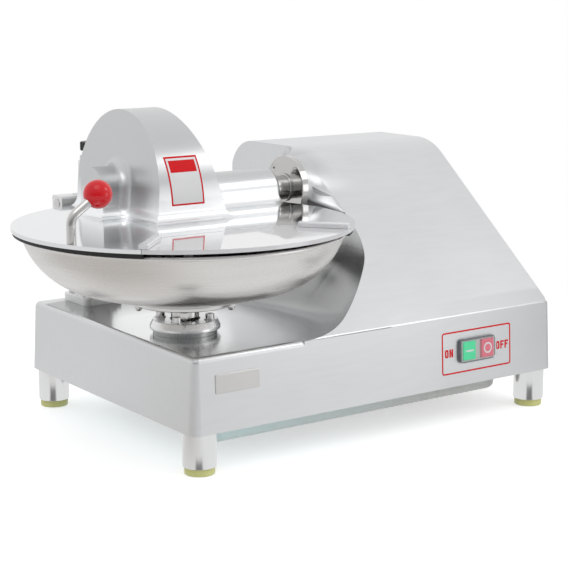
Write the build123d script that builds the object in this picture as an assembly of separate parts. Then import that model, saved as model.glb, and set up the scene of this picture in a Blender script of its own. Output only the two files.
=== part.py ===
"""Table-top bowl cutter: a slow stainless bowl, fast sickle knives, a hinged lid and a cast housing.

Frame: +X to the operator's right, +Y to the back, +Z up. The pieces are drawn about the middle of
the base casting and written out about the middle of the front left foot, on the table.
Lengths are in millimetres and angles in degrees.
"""
from build123d import *

import os
from math import atan, cos, degrees, pi, radians, sin, sqrt, tan

# ---------------------------------------------------------------- driving dimensions
FIT = 0.04                # radial clearance of a shaft in its bearing
SEAT = 0.2                # gap between curved pieces that seat on each other
GAP = 0.4                 # gap between pieces that move past each other
SCREW_GAP = 0.15          # radial clearance of a screw in its hole

# base and housing, one casting
BASE_LENGTH = 595.0
BASE_DEPTH = 429.0
BASE_HEIGHT = 95.0        # from the casting's rim to the deck
BASE_DRAFT = 2.9          # slope of the side walls
BASE_CORNER = 12.0
DECK_EDGE = 7.0           # rounding of the deck's outer edges
WALL = 5.0
HOUSING_TOP = 356.5       # height above the table
HOUSING_SLOPE = 39.8      # slope of the housing's front
HOUSING_DRAFT = 0.8
BROW_RADIUS = 83.0        # rounding between slope and top
BACK_RADIUS = 52.0        # rounding between top and back
HOUSING_EDGE = 5.0        # rounding of the housing's right-hand edge
BAY_RADIUS = 272.0        # wall of the bay around the bowl, from the bowl's axis
BAY_FOOT = 186.5          # where the bay's cone would meet the deck
BAY_ROUND = 60.0          # rounding at the foot and the top of the bay's cone
BAY_SKEW = 2.0            # the straight part of the bay's wall turns this much
BAY_SPLIT = 92.0          # the deck's edges are rounded up to here, from the bowl's axis
BAY_EDGE = 4.0            # rounding between the bay's wall and the slope
VENT_COUNT = 9
VENT_WIDTH = 5.0
VENT_HEIGHT = 46.0
VENT_PITCH = 14.0
VENT_X = 190.0
VENT_Z = 120.0
LEDGE = 16.0              # ledges inside the front and back walls
LEDGE_HEIGHT = 12.0
LEDGE_SPREAD = 236.0
FOOT_BOSS_RADIUS = 20.0
BOSS_RADIUS = 40.0        # boss round the bearing housing
BOSS_REACH = 32.0         # from its face to the housing's wall
BOSS_FLARE = 24.0         # it widens this much on its way to the bay's wall
BOSS_END = 14.0
BOSS_END_RADIUS = 31.0
SMALL_SCREW = 2.5         # radius of the small screws' shanks
POST_BOLT = 3.5
GLAND_X = 250.0
GLAND_Z = 88.0
GLAND_THREAD = 8.0

# feet
FOOT_HEIGHT = 53.0
FOOT_RADIUS = 21.0
FOOT_INSET = 23.0
PAD_RADIUS = 19.0
PAD_HEIGHT = 9.5
PAD_SPIGOT = 8.0
FOOT_SCREW_RADIUS = 5.0
FOOT_SCREW_LENGTH = 34.0

# bottom pan
PAN_DROP = 30.0           # how far the pan hangs under the casting
PAN_SHEET = 2.0
PAN_LEFT = -247.5
PAN_RIGHT = 242.5
PAN_FRONT = -167.5
PAN_BACK = 150.5
PAN_CORNER = 22.0
PAN_EDGE = 9.0

# bowl
BOWL_X = -222.7
BOWL_Y = -78.0
KNIFE_OFFSET = 106.0      # from the bowl's axis back to the knife shaft's axis
KNIFE_HEIGHT = 304.5
TROUGH_RADIUS = 98.4      # inside of the bowl's trough, round the knife shaft
BOWL_SHEET = 2.0
BOWL_RIM_Z = 279.6
BOWL_BEAD = 2.6
BOWL_CROWN_Z = 243.0      # flat top of the bowl's middle
PLATE_RADIUS = 62.0       # drive plate under the bowl
PLATE_Z = 185.5
PLATE_THICK = 5.5
HUB_BOSS_RADIUS = 18.0
SPINDLE_RADIUS = 12.5
SPINDLE_NECK = 8.0
ACORN_CIRCLE = 58.5
ACORN_RADIUS = 6.4
ACORN_TURN = -32.4
BOWL_NUT_RADIUS = 15.0
BOWL_NUT_HEIGHT = 13.0

# flange where the spindle leaves the deck
DECK_FLANGE_RADIUS = 45.0
DECK_FLANGE_HEIGHT = 18.0
DECK_FLANGE_LIP = 4.0      # how far the flange's lip stands out, and how thick it is
DECK_BOLT_CIRCLE = 33.0
DECK_BOLT_TURN = -50.0
DECK_SPIGOT = 23.8
SEAL_OUTER = 19.0

# gearbox
WORM_OFFSET = 58.5        # from the bowl's axis back to the worm's axis
MOTOR_HEIGHT = 97.0
WORM_RADIUS = 14.0
WORM_ROOT = 11.0
WORM_LENGTH = 46.0
WORM_PITCH = 4.7
WHEEL_TEETH = 60
WHEEL_WIDTH = 16.0
TOOTH_DEPTH = 2.6
CASE_WALL = 6.0
CASE_GAP = 4.0
CASE_Z = 66.0
CASE_HALF = 54.0
WORM_JOURNAL = 7.5
WORM_BEARING = 15.0
WHEEL_RIM = 36.0
WHEEL_HUB = 20.0

# motor
MOTOR_RADIUS = 58.0
MOTOR_LEFT = 62.0
MOTOR_RIGHT = 214.0
MOTOR_FINS = 20
MOTOR_FIN = 3.0
MOTOR_FIN_HEIGHT = 5.0
BELL_LENGTH = 26.0
TERMINAL_BOX = (48.0, 56.0, 18.0)
MOTOR_SHAFT_RADIUS = 9.0
COUPLING_X = -38.0
COUPLING_RADIUS = 17.0
COUPLING_LENGTH = 44.0
PULLEY_X = 240.0          # middle of both pulleys
PULLEY_RADIUS = 24.0
PULLEY_WIDTH = 18.0
BELT_WIDTH = 10.0
BELT_THICK = 6.0
BELT_STAND = 0.6          # the belt stands this much out of the groove
CLAMP_X = (74.0, 199.0)
CLAMP_THICK = 8.0
CLAMP_RING = 7.0
CLAMP_BAR = 20.0
CLAMP_SIDE = 2.0

# knife shaft
FLANGE_X = 7.5            # left face of the bearing housing's flange
FLANGE_RADIUS = 44.0
FLANGE_THICK = 10.0
TUBE_RADIUS = 25.0
TUBE_LENGTH = 125.0
BEARING_RADIUS = 21.0
BEARING_WIDTH = 12.0
SHAFT_RADIUS = 10.0
SLEEVE_RADIUS = 17.0      # the thick part of the shaft, outside the housing
SEAL_RADIUS = 19.8
SEAL_WIDTH = 4.0
FLANGE_SCREW_CIRCLE = 35.5
FLANGE_SCREW_LENGTH = 22.0
SHAFT_LEFT = -284.0

# knives
KNIFE_RADIUS = 95.5
KNIFE_THICK = 4.0
KNIFE_HUB = 25.0
KNIFE_SPACING = 14.0
KNIFE_BEVEL = 9.0
KNIFE_NUT = 15.0

# lid
LID_MARGIN = 2.0          # the lid's plate stands out this much past the dome and the gasket
LID_Z = 285.0             # underside of the lid's plate
LID_PLATE = 5.0
GASKET_DEPTH = 4.6
GASKET_WIDTH = 10.0
DOME_RADIUS = 107.0
DOME_Z = 318.0
DOME_HALF_TOP = 27.0      # half the dome's width at its top
DOME_DRAFT_LEFT = 5.0
DOME_DRAFT_RIGHT = 16.0
LID_WALL = 5.0
TUNNEL_RADIUS = 29.0
TUNNEL_END = -16.5        # right end of the shaft's tunnel
TUNNEL_END_ROUND = 9.0
NOSE_HALF = 29.5          # half the nose's width
NOSE_TOP = 353.0
NOSE_REACH = 72.5         # from the bowl's axis to the nose's left face
FOOT_ROUND = 14.0         # hollow rounding between lid plate and what stands on it

# flap in the lid
FLAP_ANGLE = -92.5
FLAP_HALF = 42.0
FLAP_CHORD = 92.0         # from the bowl's axis forward to the flap's straight edge
FLAP_GAP = 0.6
FLAP_RELIEF = 4.0         # the flap's ends are cut back this far round its pivot
FLAP_PIN_RADIUS = 1.5
FLAP_PIN_LENGTH = 14.0
STRIP_WIDTH = 11.0
STRIP_HEIGHT = 6.0
STRIP_OVERLAP = 4.0
STRIP_LENGTH = 63.0

# lid handle
HANDLE_INSET = 9.0        # from the lid's rim in to the handle
HANDLE_TURN = 199.5
ROD_RADIUS = 5.6
HANDLE_RISE = 30.0        # straight part, up to the bend's corner
HANDLE_REACH = 29.0
HANDLE_LIFT = 20.0
BALL_RADIUS = 17.0
BALL_SINK = 9.0           # how deep the rod sits in the ball
HANDLE_STUD = 4.0

# lid hinge
HINGE_SETBACK = 26.5      # from the lid's rim back to the hinge's axis
HINGE_Z = 289.0
HINGE_PIN_RADIUS = 6.0
PIN_HEAD = 1.0            # the pin's heads stand out this much, outwards and endwards
KNUCKLE_RADIUS = 12.5
KNUCKLE_HALF = 27.5
YOKE_HALF = 53.0
YOKE_TOP = 300.0
YOKE_ROUND = 4.0
YOKE_DEPTH = 28.0
YOKE_FLOOR = 272.0
GUSSET_HALF = 10.0
POST_HALF = 24.0
POST_TOE = 6.0            # the post's foot stands out this much on the left and right
POST_FOOT = 10.0
POST_SHIFT = 3.0
POST_BOLT_X = 18.0
POST_BOLT_Y = 24.0
ARM_HALF = 16.0
ARM_BACK = 12.0
TONGUE_Z = 345.0
TONGUE_THICK = 7.0
KNOB_LEAD = 2.5           # the knob stands this much in front of the hinge's axis
KNOB_RADIUS = 15.5
KNOB_Z = 359.0
KNOB_HEIGHT = 12.0
STUD_RADIUS = 4.0
STUD_DEPTH = 25.0
KNOB_GRIP = 3.0
KNOB_GRIPS = 12
HEEL_HEIGHT = 12.0
YOKE_FLOOR_THICK = 12.0

# switch in the front wall
SWITCH_X = 154.0
SWITCH_Z = 100.0
BEZEL_LENGTH = 63.4
BEZEL_HEIGHT = 32.4
BEZEL_DEPTH = 4.5
BEZEL_CORNER = 6.0
BUTTON_LENGTH = 22.0
BUTTON_HEIGHT = 25.0
BUTTON_SPREAD = 16.3      # from the switch's middle to each button's middle
BUTTON_STAND = 1.6        # how far a button stands out of its bezel
BUTTON_DEPTH = 5.0
BUTTON_TRAVEL = 2.5
SWITCH_SINK = 1.7         # how far the switch block lies behind the wall's face
HOOD_SHEET = 0.8
SWITCH_BODY_DEPTH = 46.0
SWITCH_WINDOW = (56.0, 27.0)
WINDOW_CORNER = 3.0
BAR_LENGTH = 55.0
HOOD_STAND = 2.0
GLAND_NUT = 6.0

# ---------------------------------------------------------------- derived sizes
DECK_Z = FOOT_HEIGHT + BASE_HEIGHT
DRAFT_INSET = BASE_HEIGHT * tan(radians(BASE_DRAFT))
DECK_LENGTH = BASE_LENGTH - 2 * DRAFT_INSET
DECK_DEPTH = BASE_DEPTH - 2 * DRAFT_INSET
DECK_FRONT = -DECK_DEPTH / 2
KNIFE_Y = BOWL_Y + KNIFE_OFFSET
WORM_Y = BOWL_Y + WORM_OFFSET
BOWL_OUTER = TROUGH_RADIUS + BOWL_SHEET
PAN_Z = FOOT_HEIGHT - PAN_DROP
CLEAR = 400.0             # longer than any hole or cut it makes
BAY_SPLIT_X = BOWL_X + BAY_SPLIT
WHEEL_RADIUS = WORM_OFFSET - WORM_RADIUS - GAP
LID_TOP = LID_Z + LID_PLATE
LID_RADIUS = KNIFE_OFFSET + DOME_RADIUS + LID_MARGIN
GASKET_OUTER = LID_RADIUS - LID_MARGIN
GASKET_INNER = GASKET_OUTER - GASKET_WIDTH
HANDLE_CIRCLE = LID_RADIUS - HANDLE_INSET
HINGE_Y = BOWL_Y + LID_RADIUS + HINGE_SETBACK
KNOB_Y = HINGE_Y - KNOB_LEAD
GASKET_FLOOR = LID_Z - 2 * LID_PLATE


# ---------------------------------------------------------------- helpers
def block(x, y, z):
    """A box from three (low, high) pairs."""
    size = [side[1] - side[0] for side in (x, y, z)]
    middle = [(side[0] + side[1]) / 2 for side in (x, y, z)]
    return Pos(*middle) * Box(*size)


def rod_x(radius, x0, x1, y, z):
    return Pos((x0 + x1) / 2, y, z) * Rot(0, 90, 0) * Cylinder(radius, x1 - x0)


def rod_y(radius, y0, y1, x, z):
    return Pos(x, (y0 + y1) / 2, z) * Rot(90, 0, 0) * Cylinder(radius, y1 - y0)


def rod_z(radius, z0, z1, x, y):
    return Pos(x, y, (z0 + z1) / 2) * Cylinder(radius, z1 - z0)


def around(radius, turn, count, x=BOWL_X, y=BOWL_Y):
    """Points evenly spaced on a level circle."""
    angles = [radians(turn + 360 * i / count) for i in range(count)]
    return [(x + radius * cos(a), y + radius * sin(a)) for a in angles]


def prism_x(sketch, x0, x1):
    """A sketch drawn in Y and Z, pulled from x0 to x1."""
    plane = Plane(origin=(x0, 0, 0), x_dir=(0, 1, 0), z_dir=(1, 0, 0))
    return extrude(plane * sketch, x1 - x0)


def prism_y(sketch, y0, y1):
    """A sketch drawn in X and Z, pulled from y0 to y1."""
    plane = Plane(origin=(0, y1, 0), x_dir=(1, 0, 0), z_dir=(0, -1, 0))
    return extrude(plane * sketch, y1 - y0)


def rounded(sketch, corner, radius):
    """The sketch with its vertex nearest to one corner rounded."""
    vertex = min(sketch.vertices(), key=lambda v: (v.X - corner[0]) ** 2 + (v.Y - corner[1]) ** 2)
    return fillet(vertex, radius)


def write(name, shape):
    """One STEP file for one node, with all its solids, about the front left foot."""
    foot = Pos(BASE_LENGTH / 2 - FOOT_INSET, BASE_DEPTH / 2 - FOOT_INSET, 0)
    solids = (foot * shape).solids()
    part = solids[0] if len(solids) == 1 else Compound(children=list(solids))
    part.label = name
    export_step(part, f"parts/{name}.step")
    print(name, len(solids))


# ---------------------------------------------------------------- base and housing
def housing_outline(inset):
    """The housing's end outline in Y and Z: slope, brow, top, rounded back."""
    rise = tan(radians(HOUSING_SLOPE))
    start = DECK_Z - rise * DECK_FRONT - inset / cos(radians(HOUSING_SLOPE))
    top = HOUSING_TOP - inset
    front = DECK_FRONT + inset
    back = -DECK_FRONT - inset
    brow = ((top - start) / rise, top)
    low = PAN_Z
    points = [(front, low), (front, start + rise * front), brow, (back, top), (back, low)]
    sketch = make_face(Polyline(*points, close=True))
    sketch = rounded(sketch, brow, BROW_RADIUS - inset)
    return rounded(sketch, (back, top), BACK_RADIUS - inset)


def bay(inset):
    """Everything inside the bay round the bowl, above the deck, grown by inset."""
    floor = DECK_Z - inset
    foot = BAY_FOOT + inset * (sqrt(2) - 1)
    wall = BAY_RADIUS + inset
    corner = (wall, floor + wall - foot)
    points = [(0, floor), (foot, floor), corner, (wall, CLEAR), (0, CLEAR)]
    sketch = make_face(Polyline(*points, close=True))
    sketch = rounded(sketch, (foot, floor), BAY_ROUND + inset)
    sketch = rounded(sketch, corner, BAY_ROUND + inset)
    dish = revolve(Plane.XZ * sketch, Axis.Z)
    trough = prism_y(sketch, 0, CLEAR)
    return Pos(BOWL_X, BOWL_Y, 0) * (dish + Rot(0, 0, BAY_SKEW) * trough)


def base_block(inset):
    """The drafted block of the base, shrunk by inset on its sides and top."""
    plan = RectangleRounded(BASE_LENGTH - 2 * inset, BASE_DEPTH - 2 * inset, BASE_CORNER - inset / 2)
    return extrude(Pos(0, 0, FOOT_HEIGHT) * plan, BASE_HEIGHT - inset, taper=BASE_DRAFT)


def housing_block(inset):
    """The housing before the bay is cut out of it."""
    raw = prism_x(housing_outline(inset), BOWL_X, BASE_LENGTH / 2)
    plan = RectangleRounded(DECK_LENGTH - 2 * inset, DECK_DEPTH - 2 * inset, BASE_CORNER - inset / 2)
    low = DECK_Z - WALL - inset
    return raw & extrude(Pos(0, 0, low) * plan, HOUSING_TOP - low + 1, taper=HOUSING_DRAFT)


def deck_part(x0, x1):
    return block((x0, x1), (-BASE_DEPTH, BASE_DEPTH), (0, HOUSING_TOP))


def foot_places():
    x = BASE_LENGTH / 2 - FOOT_INSET
    y = BASE_DEPTH / 2 - FOOT_INSET
    return [(x * i, y * j) for i in (-1, 1) for j in (-1, 1)]


def pan_screw_places():
    y = BASE_DEPTH / 2 - WALL - LEDGE / 2
    return [(x, y * j) for x in (-LEDGE_SPREAD, 0, LEDGE_SPREAD) for j in (-1, 1)]


def clamp_bolt_places():
    y = BASE_DEPTH / 2 - WALL - LEDGE / 2 - 2
    return [(x, y * j) for x in CLAMP_X for j in (-1, 1)]


def post_bolt_places():
    middle = HINGE_Y + POST_SHIFT
    return [(BOWL_X + POST_BOLT_X * i, middle + POST_BOLT_Y * j) for i in (-1, 1) for j in (-1, 1)]


def vents():
    slot = Rot(90, 0, 0) * extrude(SlotOverall(VENT_HEIGHT, VENT_WIDTH, rotation=90), CLEAR)
    first = VENT_X - VENT_PITCH * (VENT_COUNT - 1) / 2
    cut = [Pos(first + VENT_PITCH * i, CLEAR + BASE_DEPTH / 4, VENT_Z) * slot for i in range(VENT_COUNT)]
    return sum(cut[1:], cut[0])


def cavity():
    low = block((-CLEAR, CLEAR), (-CLEAR, CLEAR), (0, FOOT_HEIGHT))
    shell = base_block(WALL) + (housing_block(WALL) - bay(WALL))
    return shell - low


def face_plane():
    """The drafted front wall's outer face, at the middle of the switch."""
    y = -BASE_DEPTH / 2 + (SWITCH_Z - FOOT_HEIGHT) * tan(radians(BASE_DRAFT))
    lean = radians(BASE_DRAFT)
    return Plane(origin=(SWITCH_X, y, SWITCH_Z), x_dir=(1, 0, 0), z_dir=(0, -cos(lean), sin(lean)))


def base_casting():
    whole = base_block(0)
    left = whole & deck_part(-BASE_LENGTH, BAY_SPLIT_X)
    rim = [e for e in left.edges() if e.center().Z > DECK_Z - 0.01 and e.center().X < BAY_SPLIT_X - 1]
    left = fillet(rim, DECK_EDGE)
    housing = housing_block(0)
    right = [e for e in housing.edges() if e.center().X > BASE_LENGTH / 2 - 12 and e.center().Z > DECK_Z + 2]
    housing = fillet(right, HOUSING_EDGE)
    above = block((-CLEAR, CLEAR), (-CLEAR, CLEAR), (DECK_Z, CLEAR))
    above += block((BAY_SPLIT_X, CLEAR), (-CLEAR, CLEAR), (DECK_Z - WALL / 2, CLEAR))
    boss_x = FLANGE_X + FLANGE_THICK
    flare = Cone(BOSS_RADIUS, BOSS_RADIUS + BOSS_FLARE, BOSS_REACH)
    flare = Pos(boss_x + BOSS_REACH / 2, KNIFE_Y, KNIFE_HEIGHT) * Rot(0, 90, 0) * flare
    casting = left + (whole & deck_part(BAY_SPLIT_X, BASE_LENGTH)) + ((housing & above) - bay(0))
    casting = casting + (flare & housing) - cavity()
    boss = rod_x(BOSS_RADIUS, boss_x, boss_x + BOSS_REACH, KNIFE_Y, KNIFE_HEIGHT)
    shoulder = Cone(BOSS_RADIUS, BOSS_END_RADIUS, BOSS_END)
    casting += boss
    casting += Pos(boss_x + BOSS_REACH + BOSS_END / 2, KNIFE_Y, KNIFE_HEIGHT) * Rot(0, 90, 0) * shoulder
    inside = cavity_bounds()
    for x, y in foot_places():
        casting += rod_z(FOOT_BOSS_RADIUS, FOOT_HEIGHT, DECK_Z - WALL / 2, x, y) & inside
        casting -= rod_z(FOOT_SCREW_RADIUS + SCREW_GAP, 0, FOOT_HEIGHT + FOOT_SCREW_LENGTH + 1, x, y)
    ledge_z = (FOOT_HEIGHT + PAN_SHEET, FOOT_HEIGHT + PAN_SHEET + LEDGE_HEIGHT)
    for x, y in pan_screw_places() + clamp_bolt_places():
        side = 1 if y > 0 else -1
        reach = sorted((y - side * LEDGE / 2, side * (BASE_DEPTH / 2 - WALL / 2)))
        casting += block((x - LEDGE / 2, x + LEDGE / 2), reach, ledge_z) & inside
    for x, y in pan_screw_places() + clamp_bolt_places():
        casting -= rod_z(SMALL_SCREW + SCREW_GAP, FOOT_HEIGHT, ledge_z[1] + 1, x, y)
    casting -= rod_x(TUBE_RADIUS + SEAT, 0, CLEAR / 2, KNIFE_Y, KNIFE_HEIGHT)
    casting -= rod_z(DECK_SPIGOT + SEAT, DECK_Z - 2 * WALL, DECK_Z + 1, BOWL_X, BOWL_Y)
    for x, y in around(DECK_BOLT_CIRCLE, DECK_BOLT_TURN, 4) + post_bolt_places():
        casting -= rod_z(POST_BOLT + SCREW_GAP, DECK_Z - 2 * WALL, DECK_Z + 1, x, y)
    for x, y in around(FLANGE_SCREW_CIRCLE, 45, 4, KNIFE_Y, KNIFE_HEIGHT):
        casting -= rod_x(SMALL_SCREW + SCREW_GAP, boss_x - 1, boss_x + FLANGE_SCREW_LENGTH, x, y)
    window = face_plane() * RectangleRounded(*SWITCH_WINDOW, WINDOW_CORNER)
    casting -= extrude(window, -3 * WALL) + extrude(window, WALL)
    rear = BASE_DEPTH / 2
    casting -= rod_y(GLAND_THREAD + SCREW_GAP, rear - 4 * WALL, rear + 1, GLAND_X, GLAND_Z)
    return casting - vents()


def cavity_bounds():
    """Everything inside the casting's outer skin, for ribs that must not break through it."""
    return base_block(WALL / 2)


# ---------------------------------------------------------------- feet and pan
def feet():
    legs, pads, screws = [], [], []
    for x, y in foot_places():
        hole = rod_z(FOOT_SCREW_RADIUS + FIT, 0, CLEAR, x, y)
        leg = fillet(rod_z(FOOT_RADIUS, PAD_HEIGHT, FOOT_HEIGHT, x, y).edges().sort_by(Axis.Z)[0], 1)
        legs.append(leg - rod_z(PAD_SPIGOT + FIT, 0, PAD_HEIGHT + 5, x, y) - hole)
        pad = fillet(rod_z(PAD_RADIUS, 0, PAD_HEIGHT, x, y).edges().sort_by(Axis.Z)[0], 1.5)
        pads.append(pad + rod_z(PAD_SPIGOT, PAD_HEIGHT - 1, PAD_HEIGHT + 4, x, y))
        top = FOOT_HEIGHT + FOOT_SCREW_LENGTH
        screws.append(rod_z(FOOT_SCREW_RADIUS, PAD_HEIGHT + 5.5, top, x, y))
    return Compound(children=legs), Compound(children=pads), Compound(children=screws)


def bottom_pan():
    length, depth = PAN_RIGHT - PAN_LEFT, PAN_BACK - PAN_FRONT
    at = Pos((PAN_LEFT + PAN_RIGHT) / 2, (PAN_FRONT + PAN_BACK) / 2, PAN_Z)
    tray = extrude(at * RectangleRounded(length, depth, PAN_CORNER), PAN_DROP + PAN_SHEET)
    tray = fillet(tray.faces().sort_by(Axis.Z)[0].edges(), PAN_EDGE)
    flange_plan = RectangleRounded(BASE_LENGTH - 2 * WALL - 3, BASE_DEPTH - 2 * WALL - 3, BASE_CORNER / 2)
    pan = tray + extrude(Pos(0, 0, FOOT_HEIGHT) * flange_plan, PAN_SHEET)
    inner = RectangleRounded(length - 2 * PAN_SHEET, depth - 2 * PAN_SHEET, PAN_CORNER - PAN_SHEET)
    hollow = extrude(Pos(0, 0, PAN_SHEET) * at * inner, PAN_DROP + PAN_SHEET)
    pan -= fillet(hollow.faces().sort_by(Axis.Z)[0].edges(), PAN_EDGE - PAN_SHEET)
    for x, y in foot_places():
        pan -= rod_z(FOOT_BOSS_RADIUS + 1, 0, CLEAR, x, y)
    for x, y in pan_screw_places():
        pan -= rod_z(SMALL_SCREW + SCREW_GAP, 0, CLEAR, x, y)
    return pan


def pan_screws():
    top = FOOT_HEIGHT + LEDGE_HEIGHT
    screws = []
    for x, y in pan_screw_places():
        head = rod_z(SMALL_SCREW * 2, FOOT_HEIGHT - 2, FOOT_HEIGHT, x, y)
        screws.append(head + rod_z(SMALL_SCREW, FOOT_HEIGHT, top, x, y))
    return Compound(children=screws)


# ---------------------------------------------------------------- screws
def cap_screw(radius, length, head_radius, head_height):
    """Socket-head screw: the head's underside at 0, shank downwards."""
    screw = Pos(0, 0, head_height / 2) * Cylinder(head_radius, head_height)
    screw += Pos(0, 0, -length / 2) * Cylinder(radius, length)
    socket = Pos(0, 0, head_height * 0.5) * extrude(RegularPolygon(head_radius * 0.5, 6), head_height)
    return screw - socket


def acorn_screw():
    """Dome nut hanging under the drive plate, with its stud upwards."""
    nut = extrude(RegularPolygon(ACORN_RADIUS, 6), -5)
    dome = Pos(0, 0, -5) * Sphere(ACORN_RADIUS * 0.8) & Pos(0, 0, -15) * Box(30, 30, 20)
    stud = Pos(0, 0, PLATE_THICK) * Cylinder(3, 2 * PLATE_THICK)
    return nut + dome + stud


# ---------------------------------------------------------------- drive
def motor_body():
    """Finned motor with two end bells and its terminal box on top."""
    middle = (MOTOR_LEFT + MOTOR_RIGHT) / 2
    core = MOTOR_RADIUS - MOTOR_FIN_HEIGHT
    stator = rod_x(core, MOTOR_LEFT, MOTOR_RIGHT, WORM_Y, MOTOR_HEIGHT)
    finned = (MOTOR_LEFT + BELL_LENGTH, MOTOR_RIGHT - BELL_LENGTH)
    fin = block(finned, (-MOTOR_FIN / 2, MOTOR_FIN / 2), (0, MOTOR_RADIUS))
    for i in range(MOTOR_FINS):
        stator += Pos(0, WORM_Y, MOTOR_HEIGHT) * Rot(360 * (i + 0.5) / MOTOR_FINS, 0, 0) * fin
    for x0, x1 in ((MOTOR_LEFT, finned[0]), (finned[1], MOTOR_RIGHT)):
        bell = rod_x(MOTOR_RADIUS, x0, x1, WORM_Y, MOTOR_HEIGHT)
        stator += fillet(bell.edges(), MOTOR_FIN)
    across, along, height = TERMINAL_BOX
    stator += block((middle - along / 2, middle + along / 2), (WORM_Y - across / 2, WORM_Y + across / 2),
                    (MOTOR_HEIGHT + core / 2, MOTOR_HEIGHT + MOTOR_RADIUS + height))
    return stator - rod_x(MOTOR_SHAFT_RADIUS + FIT, 0, CLEAR, WORM_Y, MOTOR_HEIGHT)


def motor_clamps():
    """Two ring clamps that carry the motor on the ledges of the casting."""
    low = FOOT_HEIGHT + PAN_SHEET + LEDGE_HEIGHT
    reach = BASE_DEPTH / 2 - WALL - CLAMP_SIDE
    ring = Pos(WORM_Y, MOTOR_HEIGHT) * Circle(MOTOR_RADIUS + CLAMP_RING)
    bar = Pos(0, low + CLAMP_BAR / 2) * Rectangle(2 * reach, CLAMP_BAR)
    sketch = ring + bar - Pos(WORM_Y, MOTOR_HEIGHT) * Circle(MOTOR_RADIUS + SEAT)
    clamps = []
    for x in CLAMP_X:
        clamp = prism_x(sketch, x - CLAMP_THICK / 2, x + CLAMP_THICK / 2)
        for bolt_x, bolt_y in clamp_bolt_places():
            clamp -= rod_z(SMALL_SCREW + SCREW_GAP, 0, MOTOR_HEIGHT, bolt_x, bolt_y)
        clamps.append(clamp)
    return Compound(children=clamps)


def clamp_bolts():
    top = FOOT_HEIGHT + PAN_SHEET + LEDGE_HEIGHT + CLAMP_BAR
    bolt = cap_screw(SMALL_SCREW, CLAMP_BAR + LEDGE_HEIGHT - 1, SMALL_SCREW * 1.8, 5)
    return Compound(children=[Pos(x, y, top) * bolt for x, y in clamp_bolt_places()])


def pulley(y, z, bore):
    """Grooved pulley with its belt groove left 0.4 mm wider than the belt."""
    body = rod_x(PULLEY_RADIUS, PULLEY_X - PULLEY_WIDTH / 2, PULLEY_X + PULLEY_WIDTH / 2, y, z)
    half = BELT_WIDTH / 2 + GAP
    groove = rod_x(PULLEY_RADIUS + 1, PULLEY_X - half, PULLEY_X + half, y, z)
    groove -= rod_x(PULLEY_RADIUS + BELT_STAND - BELT_THICK - GAP, PULLEY_X - half, PULLEY_X + half, y, z)
    body = body - groove
    return fillet(body.edges().filter_by(GeomType.CIRCLE).sort_by(Axis.X)[0], 1) - rod_x(bore, 0, CLEAR, y, z)


def drive_belt():
    outer = PULLEY_RADIUS + BELT_STAND
    span = Vector(KNIFE_Y - WORM_Y, KNIFE_HEIGHT - MOTOR_HEIGHT)
    turn = degrees(atan(span.Y / span.X))
    middle = Pos((KNIFE_Y + WORM_Y) / 2, (KNIFE_HEIGHT + MOTOR_HEIGHT) / 2)
    loops = [SlotCenterToCenter(span.length, 2 * r, rotation=turn) for r in (outer, outer - BELT_THICK)]
    return prism_x(middle * (loops[0] - loops[1]), PULLEY_X - BELT_WIDTH / 2, PULLEY_X + BELT_WIDTH / 2)


def motor_rotor():
    return rod_x(MOTOR_SHAFT_RADIUS, COUPLING_X, PULLEY_X + PULLEY_WIDTH / 2 + 4, WORM_Y, MOTOR_HEIGHT)


def shaft_coupling():
    half = COUPLING_LENGTH / 2
    sleeve = rod_x(COUPLING_RADIUS, COUPLING_X - half, COUPLING_X + half, WORM_Y, MOTOR_HEIGHT)
    sleeve = chamfer(sleeve.edges().filter_by(GeomType.CIRCLE), 1.5)
    return sleeve - rod_x(MOTOR_SHAFT_RADIUS + FIT, -CLEAR, CLEAR, WORM_Y, MOTOR_HEIGHT)


def worm():
    """Worm and its shaft in one piece."""
    half = WORM_LENGTH / 2
    piece = rod_x(WORM_ROOT, BOWL_X - half, BOWL_X + half, WORM_Y, MOTOR_HEIGHT)
    turns = int(WORM_LENGTH / WORM_PITCH)
    for i in range(turns):
        x = BOWL_X - half + WORM_PITCH * (i + 0.5)
        piece += rod_x(WORM_RADIUS, x - WORM_PITCH / 4, x + WORM_PITCH / 4, WORM_Y, MOTOR_HEIGHT)
    inner = BOWL_X + CASE_HALF + 1
    piece += rod_x(WORM_JOURNAL, BOWL_X - CASE_HALF + CASE_WALL, inner, WORM_Y, MOTOR_HEIGHT)
    return piece + rod_x(MOTOR_SHAFT_RADIUS, inner, COUPLING_X - 0.5, WORM_Y, MOTOR_HEIGHT)


def worm_wheel():
    points = []
    step = 2 * pi / WHEEL_TEETH
    root = WHEEL_RADIUS - TOOTH_DEPTH
    for i in range(WHEEL_TEETH):
        for radius, share in ((root, -0.3), (WHEEL_RADIUS, -0.15), (WHEEL_RADIUS, 0.15), (root, 0.3)):
            angle = step * (i + share)
            points.append((radius * cos(angle), radius * sin(angle)))
    wheel = extrude(make_face(Polyline(*points, close=True)), WHEEL_WIDTH / 2, both=True)
    wheel -= Pos(0, 0, WHEEL_WIDTH / 2) * Cylinder(WHEEL_RIM, 6) - Cylinder(WHEEL_HUB, CLEAR)
    return Pos(BOWL_X, BOWL_Y, MOTOR_HEIGHT) * wheel - rod_z(SPINDLE_RADIUS + FIT, 0, CLEAR, BOWL_X, BOWL_Y)


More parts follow.
